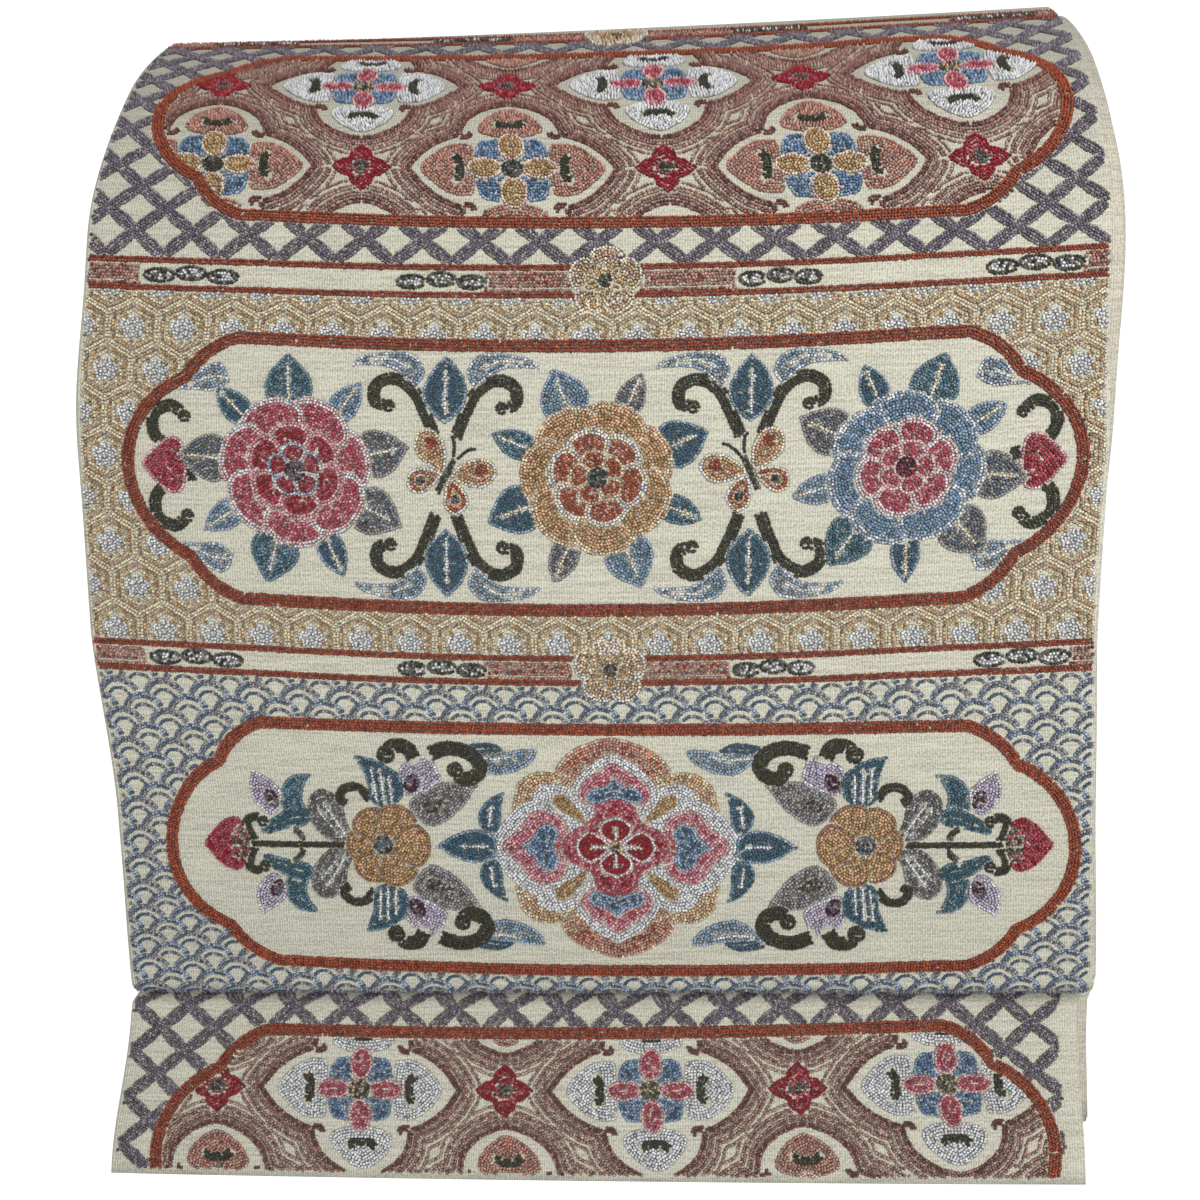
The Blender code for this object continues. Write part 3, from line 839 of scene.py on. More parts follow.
def waves(work, low, high, right, origin):
    """The ground of sea waves."""
    disc = oval((0, 0), WAVE_STEP / 2, WAVE_STEP / 2, 36)
    angles = np.linspace(math.radians(-8), math.radians(188), 26)
    tile = Work(43)
    for row in (2, 1, 0):
        for column in (-1, 0, 1):
            centre = ((column + row % 2 / 2) * WAVE_STEP, row * WAVE_RISE)
            tile.clear(moved(disc, centre), 0.2)
            for radius, width, threads in WAVE_ARCS:
                arc = np.stack([radius * np.cos(angles), radius * np.sin(angles)], -1)
                tile.line(moved(arc, centre), width, threads, 0.8)
    x, y = tile.places.T
    tile.keep((np.abs(x) <= WAVE_STEP / 2) & (y > WAVE_RISE) & (y <= WAVE_RISE * 3))
    work.join(tile.repeated([
        (origin[0] + column * WAVE_STEP, origin[1] + row * WAVE_RISE)
        for row in range(0, int((high - low) / WAVE_RISE) + 3, 2)
        for column in range(-12, 13)
    ]))
    work.trim(low, high, right=right)
    work.thin(0.7)


# The four-way flower in the middle of the wave panel, about its centre
KARAHANA_HALO = fourfold([
    (34.0, 0.0), (33.6, 9.0), (32.0, 15.4), (30.6, 20.5), (26.6, 24.0), (21.6, 25.0),
    (18.6, 24.3, 1), (16.8, 28.4), (12.8, 32.0), (6.8, 34.8), (0.0, 36.4),
])
HALO_CROWN = upright(
    [(-17.6, 24.6), (-16.4, 28.6), (-12.4, 32.2), (-6.6, 34.9), (0.0, 36.4)],
    (8.0, 22.0), (-8.0, 22.0),
)
KARAHANA_WHITE = fourfold([
    (40.0, 0.0), (36.8, 6.6), (31.0, 13.2), (26.2, 15.4, 1), (25.0, 18.6), (21.6, 20.8),
    (16.6, 20.6), (13.4, 19.2, 1), (11.8, 22.6), (6.6, 27.8), (0.0, 31.0),
])
PINK_TOP = upright(
    [(-11.4, 17.0), (-9.0, 22.2), (-4.2, 25.2), (0.0, 28.0)], (6.0, 12.6), (-6.0, 12.6)
)
PINK_SIDE = level([(15.4, -6.6), (20.0, -11.4), (26.0, -11.6), (30.2, -6.2), (36.0, 0.0)])
BLUE_TOP = upright([
    (0.0, 22.8), (2.8, 20.2), (6.4, 19.6), (8.8, 17.4), (7.6, 14.6), (3.4, 15.2), (0.0, 16.4),
])
BLUE_SIDE = level([
    (30.0, 0.0), (26.4, 2.8), (24.4, 6.6), (20.4, 7.6), (18.4, 4.2), (19.6, 0.0),
])
HEART_DIAMOND = fourfold([
    (17.4, 0.0), (14.0, 5.0), (9.6, 7.2), (7.4, 9.4), (5.8, 13.6), (0.0, 16.2),
])
TEARDROP = smooth([
    (8.8, 7.2), (13.6, 10.0), (18.6, 13.2), (19.4, 15.6), (17.8, 17.2), (14.6, 15.6), (9.4, 9.0),
])
CRIMSON_TOP = upright([(0.0, 0.4, 1), (4.0, 3.0), (5.4, 6.0), (3.2, 8.9), (0.0, 10.0, 1)])
CRIMSON_SIDE = level([(0.6, 0.0, 1), (4.8, -3.6), (8.6, -5.2), (11.6, -3.0), (12.8, 0.0, 1)])
TEAL_SPEAR = level([(38.6, -3.0), (44.0, -5.4), (50.4, -4.2), (57.4, 0.0, 1)])
TEAL_HORN = smooth([
    (35.0, 18.2, 1), (40.2, 15.4), (43.6, 10.6), (42.6, 6.0), (38.4, 4.6), (36.4, 8.2), (36.2, 12.8),
])
SKY_LEAF = smooth([
    (46.4, 32.8), (37.6, 33.8), (33.4, 31.4), (28.0, 32.4), (23.0, 32.2, 1), (25.2, 28.4),
    (30.8, 25.0), (38.0, 24.0), (43.0, 27.4),
])
SKY_RIDGE = smooth([(46.2, 33.4), (38.0, 34.4), (33.4, 31.6), (38.0, 31.4), (43.4, 31.0)])
PINK = ("blush pink", "pink rose pink blush pink")
BLUE = ("sky", "blue sky denim")
CRIMSON = ("white blush", "crimson")
KARAHANA_SHAPES = (
    # flips, shapes
    (ONCE, ((KARAHANA_HALO, ("cream tan", "apricot tan cream fawn")),)),
    (ENDS, ((HALO_CROWN, ("fawn cream salmon", "salmon apricot", "salmon rust fawn salmon fawn")),)),
    (ONCE, ((KARAHANA_WHITE, "white"),)),
    (ENDS, ((PINK_TOP, PINK), (BLUE_TOP, BLUE))),
    (SIDES, ((PINK_SIDE, PINK), (BLUE_SIDE, BLUE))),
    (CORNERS, ((TEARDROP, "gold tan gold"),)),
    (ONCE, ((HEART_DIAMOND, (("pink rose", 2), "rose crimson pink rose")),)),
    *(
        ((flip,), ((petal, CRIMSON), vein_of))
        for flip, petal, vein_of in (
            ((1, 1), CRIMSON_SIDE, vein((3.0, 0.0), (7.6, 0.0))),
            ((1, 1), CRIMSON_TOP, vein((0.0, 2.6), (0.0, 6.4))),
            ((-1, 1), CRIMSON_SIDE, vein((3.0, 0.0), (7.6, 0.0))),
            ((1, -1), CRIMSON_TOP, vein((0.0, 2.6), (0.0, 6.4))),
        )
    ),
    (ONCE, ((oval((0, 0), 1.9), "olive smoke tan"),)),
    (SIDES, (
        (TEAL_SPEAR, ("sky lake", "teal denim teal")),
        vein((41.0, 0.0), (49.4, 0.0)),
    )),
    (CORNERS, (
        (TEAL_HORN, ("lake teal", "teal denim")),
        vein((40.2, 7.0), (39.4, 13.2)),
        (SKY_LEAF, ("sky", "sky lake pewter")),
        (SKY_RIDGE, "teal denim"),
        vein((43.0, 29.6), (37.4, 29.0), (31.0, 30.0)),
    )),
)

# The sprays at its sides, about the middle of their rosettes, drawn for the right upper side
PETAL = level([(2.4, 0.0), (5.4, -4.4), (9.8, -6.6), (13.2, -4.0), (14.2, 0.0)])
ROSETTE_PETALS = (
    # turn, scale
    (0.0, 0.84), (62.0, 0.92), (-62.0, 0.92), (122.0, 1.02), (-122.0, 1.02), (180.0, 1.08),
)
BUD = level([(44.6, -4.0), (46.2, -8.0), (49.8, -8.6), (54.2, -5.4), (58.6, 0.0, 1)])
SPRAY = (
    # pewter leaf towards the middle, with its darker heart
    filled(
        ("pewter", "pewter smoke pewter"), (-31.0, 20.4, 1), (-20.2, 21.0), (-11.9, 17.0),
        (-9.0, 13.0), (-15.0, 6.4), (-22.2, 9.4), (-27.4, 14.6),
    ),
    filled("smoke olive", (-21.0, 14.0), (-17.0, 15.4), (-13.0, 12.6), (-16.0, 10.6)),
    # grey leaf with two pale veins beside the stem
    filled(
        ("smoke pewter", "smoke pewter smoke"), (10.4, 2.4), (11.8, 8.0), (13.4, 14.6), (19.0, 18.2),
        (23.6, 14.6), (22.8, 7.4), (17.4, 1.6),
    ),
    vein((12.4, 4.0), (15.4, 8.6), (18.6, 13.4)),
    vein((13.4, 2.8), (17.0, 6.8), (20.6, 11.4), threads="white pewter"),
    # dark hook between the leaves
    hook(2.9, (3.8, 15.2), (6.8, 18.8), (11.4, 18.6), (13.4, 15.4), (11.0, 13.4)),
    # teal leaves under the outer petal
    filled(
        ("lake", "teal lake teal"), (22.0, 23.0, 1), (27.6, 22.4), (31.6, 18.6), (32.0, 11.2),
        (27.0, 8.6), (23.4, 9.4), (25.4, 14.0), (24.8, 18.4),
    ),
    filled(
        ("lake teal", "teal"), (22.8, 9.6), (26.0, 12.0), (32.0, 10.6), (39.2, 5.4), (37.6, 3.4),
        (31.4, 5.0), (25.2, 6.2),
    ),
    # outer lavender petal and its heart
    filled(
        ("lavender white", "lavender"), (40.4, 24.0, 1), (42.0, 19.0), (40.8, 13.8), (36.8, 9.8),
        (33.0, 11.8), (32.0, 17.0), (35.4, 21.0),
    ),
    (oval((35.2, 14.8), 2.0, 3.2, 16, -24.0), "wine plum"),
    # lavender petal over the rosette and its heart
    filled(
        ("lavender white", "lavender"), (-17.2, 30.2, 1), (-12.6, 29.0), (-7.0, 25.4), (-6.8, 18.0),
        (-10.8, 16.8), (-19.2, 21.2), (-18.8, 25.6),
    ),
    (oval((-10.2, 20.6), 2.4, 3.2, 16, 30.0), "wine plum"),
    # teal leaf with three pale veins above the rosette
    filled(
        ("lake teal", "teal denim teal"), (7.0, 29.2, 1), (0.4, 28.0), (-6.6, 23.0), (-6.8, 16.0),
        (-1.8, 12.6), (3.2, 14.6), (4.2, 22.0),
    ),
    vein((-3.4, 15.0), (-3.2, 22.6)),
    vein((-1.0, 14.4), (-0.6, 24.6)),
    vein((1.4, 15.2), (2.2, 25.0)),
    # dark hook over them and the scroll beside the frame
    hook(4.8, (-11.8, 29.2), (-9.8, 32.4), (-5.6, 32.6), (-3.0, 29.8)),
    hook(
        4.4, (-17.6, 30.6), (-23.2, 32.4), (-29.4, 31.0), (-32.6, 26.8), (-30.6, 23.0),
        (-26.6, 22.4), (-24.6, 25.2),
    ),
    # hooks of the calyx round the bud and on the stem
    hook(3.2, (41.4, 0.6), (43.4, 4.0), (43.8, 7.6), (41.0, 8.8), (38.8, 7.4)),
    hook(1.9, (26.4, 0.8), (26.4, 3.0), (29.2, 5.4), threads="smoke olive"),
)
STEM_AND_BUD = (
    (((13.0, 0.0), (42.6, 0.0)), 2.2, DARK),
    (BUD, "rose crimson rose"),
    (oval((46.4, 0.0), 2.8, 5.6), "smoke rose fawn olive"),
)


def spray(work, at, side):
    """A rosette with its leaves, petals, hooks and bud. Side is 1 for the right one."""
    lay(work, SPRAY, at, ((side, 1), (side, -1)))
    lay(work, STEM_AND_BUD, at, ((side, 1),))
    for turn, scale in ROSETTE_PETALS:
        # The petals' gold and cocoa edge row is their outline, made darker as painted shade in the
        # gaps between petals.
        lay(work, ((PETAL, ("gold cocoa", "apricot tan gold")),), at, ((side, 1),), side * turn, scale)
    lay(work, ((oval((0, 0), 3.1), "smoke slate pewter ink"),), at)


# Garden panel: rings of leaves round full-petalled flowers, with butterflies and scrolls between
LEAF = level([(17.0, -2.2), (21.0, -6.4), (26.4, -5.6), (32.4, 0.0, 1)])
NARROW_LEAF = level([(17.0, -1.8), (22.0, -4.0), (27.0, -3.0), (31.0, 0.0, 1)])
LEAF_SCALE = 1.12
LEAF_THREADS = (
    # outline, inside
    ("lake sky", "teal denim teal"),
    ("pewter", "smoke slate pewter"),
    ("sky", "lake sky lake"),
    ("lake", "teal lake"),
)
LONG_LEAF = smooth([
    (0.0, 0.0, 1), (-5.2, 4.6), (-6.8, 10.0), (-4.4, 16.0), (0.0, 21.0, 1), (5.0, 15.4), (6.6, 9.6),
    (4.8, 4.4),
])
BUTTERFLY = (
    # the right wings, with the body upright
    filled(
        ("cream white", "apricot tan", "tan gold salmon"), (1.2, 1.0), (4.4, 8.6), (10.8, 12.0),
        (15.0, 8.6), (12.8, 2.4), (6.0, 0.2),
    ),
    filled(
        ("cream white", "rust salmon", "apricot tan"), (1.2, -0.4), (7.0, -0.8), (11.2, -4.6),
        (9.2, -10.0), (4.0, -9.0),
    ),
    (oval((9.8, 7.4), 2.2), "rust brick"),
    (oval((6.6, -5.4), 1.6), "ink smoke"),
    hook(0.9, (0.6, 6.6), (2.6, 11.4), (5.2, 13.6), threads="ink"),
)
BUTTERFLY_BODY = hook(1.9, (0.0, -6.0), (0.0, 0.0), (0.0, 6.4), threads="ink smoke olive")
SPRIG = (
    # beside the long leaf: a scroll and a hooked leaf, drawn for the right upper quarter
    hook(
        3.4, (3.2, 12.0), (6.0, 19.0), (9.6, 26.0), (15.6, 29.6), (21.0, 27.6), (21.4, 22.6),
        (17.2, 21.2),
    ),
    filled(
        ("sky white", "lake sky pewter"), (9.0, 27.0, 1), (6.4, 32.0), (10.0, 37.0), (17.0, 37.6),
        (25.6, 36.0), (29.0, 33.0, 1), (22.0, 33.4), (15.4, 32.2),
    ),
    vein((11.4, 33.2), (16.0, 35.4), (22.4, 35.2)),
)
END_SPRIG = (
    # outside the last roundels: a scroll over a leaf, drawn for the right upper quarter
    hook(3.4, (30.6, 2.6), (37.4, 4.4), (43.0, 9.4), (43.0, 16.0), (37.6, 18.6), (33.8, 15.4)),
    filled(
        ("sky white", "sky lake pewter"), (20.0, 26.4, 1), (22.4, 31.8), (27.4, 31.4), (31.6, 27.2),
        (36.4, 23.4, 1), (30.4, 23.6), (25.0, 23.4),
    ),
    vein((22.6, 28.0), (26.6, 27.6), (31.4, 25.4)),
)


def garden_flower(work, at, rings, leaves, turn):
    """A round spray: leaves about a flower of three rings of petals and a heart."""
    for index in range(leaves):
        outline = LEAF if index % 2 == 0 else NARROW_LEAF
        lay(work, (
            (outline, LEAF_THREADS[(index + leaves) % len(LEAF_THREADS)]),
            vein((20.0, 0.0), (28.6, 0.0), threads="white cream"),
        ), at, ONCE, turn + 360.0 / leaves * index, LEAF_SCALE)
    *rings, heart = rings
    for (edge, threads), (reach, petals, rows, start) in zip(rings, GARDEN_RINGS):
        for index in range(petals):
            petal = (PETAL, ((edge, rows), threads))
            lay(work, (petal,), at, ONCE, turn + start + 360.0 / petals * index, reach)
    work.fill(oval(at, 3.2), heart)


GARDEN_RINGS = (
    # scale and number of the petals, rows of their edge, turn from the leaves
    (1.66, 7, 2, 0.0),
    (1.08, 6, 2, 24.0),
    (0.60, 5, 1, 8.0),
)
GARDEN = (
    # across, height, (edge and inside of each ring's petals, heart), leaves, turn of the spray
    (-88.0, 167.0, (
        ("white blush", "rose pink rose"), ("blush pink", "rose crimson"),
        ("white sky", "rose crimson"), "wine plum",
    ), 9, 14.0),
    (4.0, 167.0, (
        ("cream apricot", "tan gold apricot"), ("white cream", "rust salmon rust"),
        ("cream tan", "rust salmon rust"), "ink smoke",
    ), 8, 22.5),
    (96.0, 167.0, (
        ("white sky", "sky blue lake"), ("white blush", "rose pink rose"),
        ("blush", "rose pink rose"), "wine crimson",
    ), 9, -8.0),
)
GARDEN_GAPS = (-42.0, 50.0)
GARDEN_BUTTERFLIES = (
    # across, height, turn, scale
    (-42.0, 167.0, -28.0, 0.9),
    (50.0, 167.5, 24.0, 0.9),
)


# ---------------------------------------------------------------------------------------------
# Panels, in the heights of the pattern

FRAMES = {
    # height and across of the frame's middle, threads
    "waves": (48.5, 5.5, "rust rust brick"),
    "garden": (167.0, 4.0, "brick rust brick"),
    "lattice": (285.8, 2.5, "rust rust brick rust"),
}
KARAHANA = (5.5, 49.5)
ROSETTES = ((84.0, 50.0, 1), (-69.0, 49.5, -1))
BAND_LINES = (103.9, 111.7, 222.2, 230.7, 341.0, 349.5)
LINE_ROOM = 1.3  # from a band's line to the ground beside it
BLOCK_ROOM = 1.4
BAND_FLOWERS = ((7.5, 108.0), (5.0, 226.5), (5.0, 345.2))
BLOCKS = ((-154.5, -138.0), (-31.0, -4.5), (16.0, 44.0), (147.0, 155.0))
CLOUDS = ((-136.5, -107.0), (-58.5, -31.0), (45.0, 70.0), (118.0, 147.0))
LATTICE_SPAN = (246.0, 327.0)
LATTICE_ORIGIN = (18.0, 303.0)
TARE_LATTICE_ORIGIN = (18.6, 307.3)
CIRCLES_ORIGIN = (-6.4, 231.9)
TARE_CIRCLES_ORIGIN = (-1.6, 325.7)
HEXAGONS_ORIGIN = (-0.1, 209.1)
WAVES_ORIGIN = (3.0, -12.0)
WAVES_FOOT = -6.4
RIM_CLEARANCE = 2.3  # in knots, from the rim's middle line to the ground
TARE_TOP_LINE = 160.7
LATTICE_TOP = FRAMES["lattice"][0] + FRAME_HALF_HEIGHT
DRUM_DRIFT = np.array([
    # height of a row of the pattern, how much higher it lies at -100, 0 and 100 across
    (0.0, 5.9, 2.6, 4.0),
    (50.0, 3.7, 3.1, 2.4),
    (88.5, 3.9, 2.0, 1.6),
    (107.0, 4.0, 1.4, 2.4),
    (127.0, 4.0, 1.0, 2.1),
    (207.0, 2.8, -0.5, 0.2),
    (226.0, 2.0, -0.7, -0.6),
    (245.8, 2.3, -1.9, -2.6),
    (263.5, 2.8, -1.6, -3.0),
    (303.0, 3.5, -2.8, -2.8),
])
TARE_DRIFT = np.array([(240.0, 0.9, 0.6, 3.0), (330.0, 0.9, 0.6, 3.0)])
HEM_MARGIN = 2.0
FLAP_FOOT = TARE_TOP_LINE + LATTICE_TOP - TARE.stops[-1] - 3.0
FLAP_TOP = 352.0
FLAP_RIM_TOP = 330.0
FLAP_RIGHT = 149.0


def outline_of(name):
    height, across, _ = FRAMES[name]
    return frame_outline(across, height)


def ground(seed, pattern, low, high, origin, frame, right=SELVEDGE):
    """A ground from one height up to another, left out where a frame lies on it."""
    work = Work(seed)
    pattern(work, low, high, right, origin)
    work.clear(outline_of(frame), RIM_CLEARANCE)
    return work


def band_stitches():
    """The bands between the panels: their lines, blocks, clouds and flowers."""
    work = Work(15)
    for line in BAND_LINES:
        work.line(np.array([(-SELVEDGE, line), (SELVEDGE, line)]), 2.1, "brick rust brick", 0.9)
    for low, high in zip(BAND_LINES[0::2], BAND_LINES[1::2]):
        foot, head = low + BLOCK_ROOM, high - BLOCK_ROOM
        for left, right in BLOCKS:
            block = np.array([(left, foot), (right, foot), (right, head), (left, head)])
            work.fill(block, "fawn salmon cocoa fawn cocoa salmon brick", 0.9, False)
        for left, right in CLOUDS:
            step = (right - left) / 3
            for index, lift in enumerate((-0.3, 0.5, -0.3)):
                at = (left + step * (index + 0.5), (low + high) / 2 + lift)
                work.fill(oval(at, step * 0.52, 2.5), ("ink olive smoke", "white smoke white ink"))
    for at in BAND_FLOWERS:
        for index in range(5):
            petal = (PETAL, ("white cream", "fawn cream tan"))
            lay(work, (petal,), at, ONCE, 90.0 + 72.0 * index, 0.80, 1.2)
        for index in range(5):
            way = 54.0 + 72.0 * index
            spot = moved(((3.8, 0.0),), (0.0, 0.0), way)[0] + np.array(at)
            work.fill(oval(spot, 2.6, 1.3, 12, way), "gold tan", 1.2)
        work.fill(oval(at, 2.1), "ink smoke olive", 1.2)
    work.trim(-7.0, 352.0)
    return work


def garden_flowers():
    work = Work(16)
    middle = GARDEN[1][1]
    for across in GARDEN_GAPS:
        for up in (1, -1):
            lay(work, SPRIG, (across, middle), ((1, up), (-1, up)))
            lay(work, (
                (LONG_LEAF, ("lake sky", "teal denim teal")),
                vein((0.0, 3.0), (0.0, 16.0)),
            ), (across, middle + 16.0 * up), ((1, up),))
    for side, (across, height, *_) in ((-1, GARDEN[0]), (1, GARDEN[-1])):
        lay(work, END_SPRIG, (across, height), ((side, 1), (side, -1)))
        bud = (BUD, ("blush pink", "rose crimson rose"))
        lay(work, (bud,), (across - 11.0 * side, height), ((side, 1),))
    for across, height, *flower in GARDEN:
        garden_flower(work, (across, height), *flower)
    for across, height, turn, scale in GARDEN_BUTTERFLIES:
        lay(work, BUTTERFLY, (across, height), SIDES, turn, scale)
        lay(work, (BUTTERFLY_BODY,), (across, height), ONCE, turn, scale)
    work.clip(outline_of("garden"))
    return work


def wave_flowers():
    work = Work(17)
    for flips, shapes in KARAHANA_SHAPES:
        lay(work, shapes, KARAHANA, flips)
    for across, height, side in ROSETTES:
        spray(work, (across, height), side)
    work.clip(outline_of("waves"))
    return work


def frame_rims():
    work = Work(18)
    for name, (_, _, threads) in FRAMES.items():
        work.rim(outline_of(name), threads)
    work.thin()
    return work


def flap_rim():
    work = Work(21)
    work.rim(outline_of("lattice"), FRAMES["lattice"][2])
    work.thin()
    work.trim(FLAP_FOOT, FLAP_RIM_TOP)
    return work


def drifted(across, height, rows):
    """Heights on the cloth of points of the pattern, whose rows bow and lean a little."""
    left, middle, right = blended(rows, height)
    share = across / 100
    inner = np.clip(share, -1.0, 1.0)
    lean = (right - left) / 2
    bow = (right + left) / 2 - middle
    return height + middle + lean * share + bow * (inner**2 + np.abs(share) - np.abs(inner))


def along_drum(across, height):
    return drifted(across, height, DRUM_DRIFT) + FOLD_BOTTOM


def along_tare(across, height):
    return TARE_TOP_LINE + LATTICE_TOP - drifted(across, height, TARE_DRIFT)


DRUM_LATTICE = (*LATTICE_SPAN, LATTICE_ORIGIN, 12)
FLAP_LATTICE = (FLAP_FOOT, LATTICE_SPAN[1], TARE_LATTICE_ORIGIN, 20)
STITCHED = (
    # name, run that it lies on, what works it, solids that the knots replace
    ("circles_ground", DRUM, lambda: ground(
        11, circles, BAND_LINES[3] + LINE_ROOM, BAND_LINES[4] - LINE_ROOM, CIRCLES_ORIGIN, "lattice"
    ), ()),
    ("lattice_bands", DRUM, lambda: lattice(*DRUM_LATTICE)[0], ()),
    ("lattice_flowers", DRUM, lambda: lattice(*DRUM_LATTICE)[1], (
        "white_flower_1", "white_flower_2", "white_flower_3",
        "salmon_flower_1", "salmon_flower_2", "salmon_flower_3",
    )),
    ("band_stitches", DRUM, band_stitches, ("band_flower_upper", "band_flower_lower")),
    ("hexagon_ground", DRUM, lambda: ground(
        13, hexagons, BAND_LINES[1] + LINE_ROOM, BAND_LINES[2] - LINE_ROOM, HEXAGONS_ORIGIN, "garden"
    ), ()),
    ("garden_flowers", DRUM, garden_flowers, (
        "garden_roundel_left", "garden_roundel_middle", "garden_roundel_right",
    )),
    ("wave_ground", DRUM, lambda: ground(
        14, waves, WAVES_FOOT, BAND_LINES[0] - LINE_ROOM, WAVES_ORIGIN, "waves"
    ), ()),
    ("wave_flowers", DRUM, wave_flowers, ("karahana", "rosette_left", "rosette_right")),
    ("frame_rims", DRUM, frame_rims, ("rim_waves", "rim_garden", "rim_lattice")),
    ("flap_ground", TARE, lambda: ground(
        19, circles, FLAP_FOOT, FLAP_TOP, TARE_CIRCLES_ORIGIN, "lattice", FLAP_RIGHT
    ), ()),
    ("flap_lattice", TARE, lambda: lattice(*FLAP_LATTICE)[0], ()),
    ("flap_flowers", TARE, lambda: lattice(*FLAP_LATTICE)[1], (
        "tare_flower_1", "tare_flower_2", "tare_flower_3",
    )),
    ("flap_rim", TARE, flap_rim, ("rim_tare",)),
)


# ---------------------------------------------------------------------------------------------
# Materials


def put(tree, kind, sockets=None, output=0, **options):
    """A new node's output. Each socket named gets a value, or the output that feeds it."""
    node = tree.nodes.new(kind)
    for option, value in options.items():
        setattr(node, option, value)
    feed(tree, node, sockets or {})
    return node.outputs[output]


def feed(tree, node, sockets):
    for socket, value in sockets.items():
        if isinstance(value, bpy.types.NodeSocket):
            tree.links.new(value, node.inputs[socket])
        else:
            node.inputs[socket].default_value = value


def shaded(name, sockets):
    """A material, its node tree and its shader, with values set on the shader's sockets."""
    material = bpy.data.materials.new(name)
    material.use_nodes = True
    tree = material.node_tree
    shader = tree.nodes["Principled BSDF"]
    feed(tree, shader, sockets)
    return material, tree, shader


def cloth_material(name, colour):
    """Plain silk: fine ribs across, slubs along the weft, and a soft sheen."""
    material, tree, shader = shaded(name, {
        "Roughness": 0.82, "Sheen Weight": 0.12, "Specular IOR Level": 0.25,
    })
    place = put(tree, "ShaderNodeTexCoord", output="UV")

    def texture(kind, stretch, sockets):
        mapping = put(tree, "ShaderNodeMapping", {"Vector": place, "Scale": stretch})
        return put(tree, kind, {"Vector": mapping, "Scale": 1.0, **sockets}, "Fac")

    slubs = texture("ShaderNodeTexNoise", (60.0, 1200.0, 1.0), {"Detail": 2.0})
    grain = texture("ShaderNodeTexNoise", (1300.0, 1500.0, 1.0), {"Detail": 1.0})
    ribs = texture("ShaderNodeTexWave", (400.0, 30.0, 1.0), {"Distortion": 1.5, "Detail": 2.0})
    woven = 0.0
    for part, share in ((slubs, 0.36), (grain, 0.52), (ribs, 0.12)):
        sum_of = {0: part, 1: share, 2: woven}
        woven = put(tree, "ShaderNodeMath", sum_of, operation="MULTIPLY_ADD")
    tone = put(tree, "ShaderNodeValToRGB", {"Fac": woven})
    for stop, at, depth in zip(tone.node.color_ramp.elements, (0.36, 0.60), (0.55, 1.0)):
        stop.position = at
        stop.color = (*(depth * np.array(colour)), 1.0)
    bump = put(tree, "ShaderNodeBump", {"Strength": 0.5, "Distance": 0.0002, "Height": ribs})
    weft = put(tree, "ShaderNodeBump", {
        "Strength": 0.4, "Distance": 0.0002, "Height": slubs, "Normal": bump,
    })
    feed(tree, shader, {"Base Color": tone, "Normal": weft})
    return material


def thread_material():
    """Dull twisted thread, coloured knot by knot, with painted shade that darkens the foot of each
    knot and eases off towards its tip.
    """
    material, tree, shader = shaded("knotted_thread", {
        "Roughness": 0.78, "Sheen Weight": 0.15, "Specular IOR Level": 0.3,
    })
    thread = put(tree, "ShaderNodeAttribute", output="Color", attribute_name="thread")
    rise = put(tree, "ShaderNodeAttribute", output="Fac", attribute_name="rise")
    # Painted shade: the thread's colour is scaled by each knot's rise, darkest at the foot where the
    # shade between knots falls.
    depth = put(tree, "ShaderNodeMapRange", {"Value": rise, "To Min": 0.24, "To Max": 1.5})
    thread_with_painted_shade = put(tree, "ShaderNodeVectorMath", {0: thread, "Scale": depth}, operation="SCALE")
    place = put(tree, "ShaderNodeTexCoord", output="Object")
    twist = put(tree, "ShaderNodeTexNoise", {"Vector": place, "Scale": 2600.0, "Detail": 1.0})
    bump = put(tree, "ShaderNodeBump", {"Strength": 0.5, "Distance": 0.0002, "Height": twist})
    feed(tree, shader, {"Base Color": thread_with_painted_shade, "Normal": bump})
    return material


# ---------------------------------------------------------------------------------------------
# Knots

PILE = 1.35  # height of a knot
FOOT_DEPTH = 0.12  # how far a knot's foot lies in the cloth
TILT_SPREAD = 0.10
GIRTH_RANGE = (0.92, 1.12)


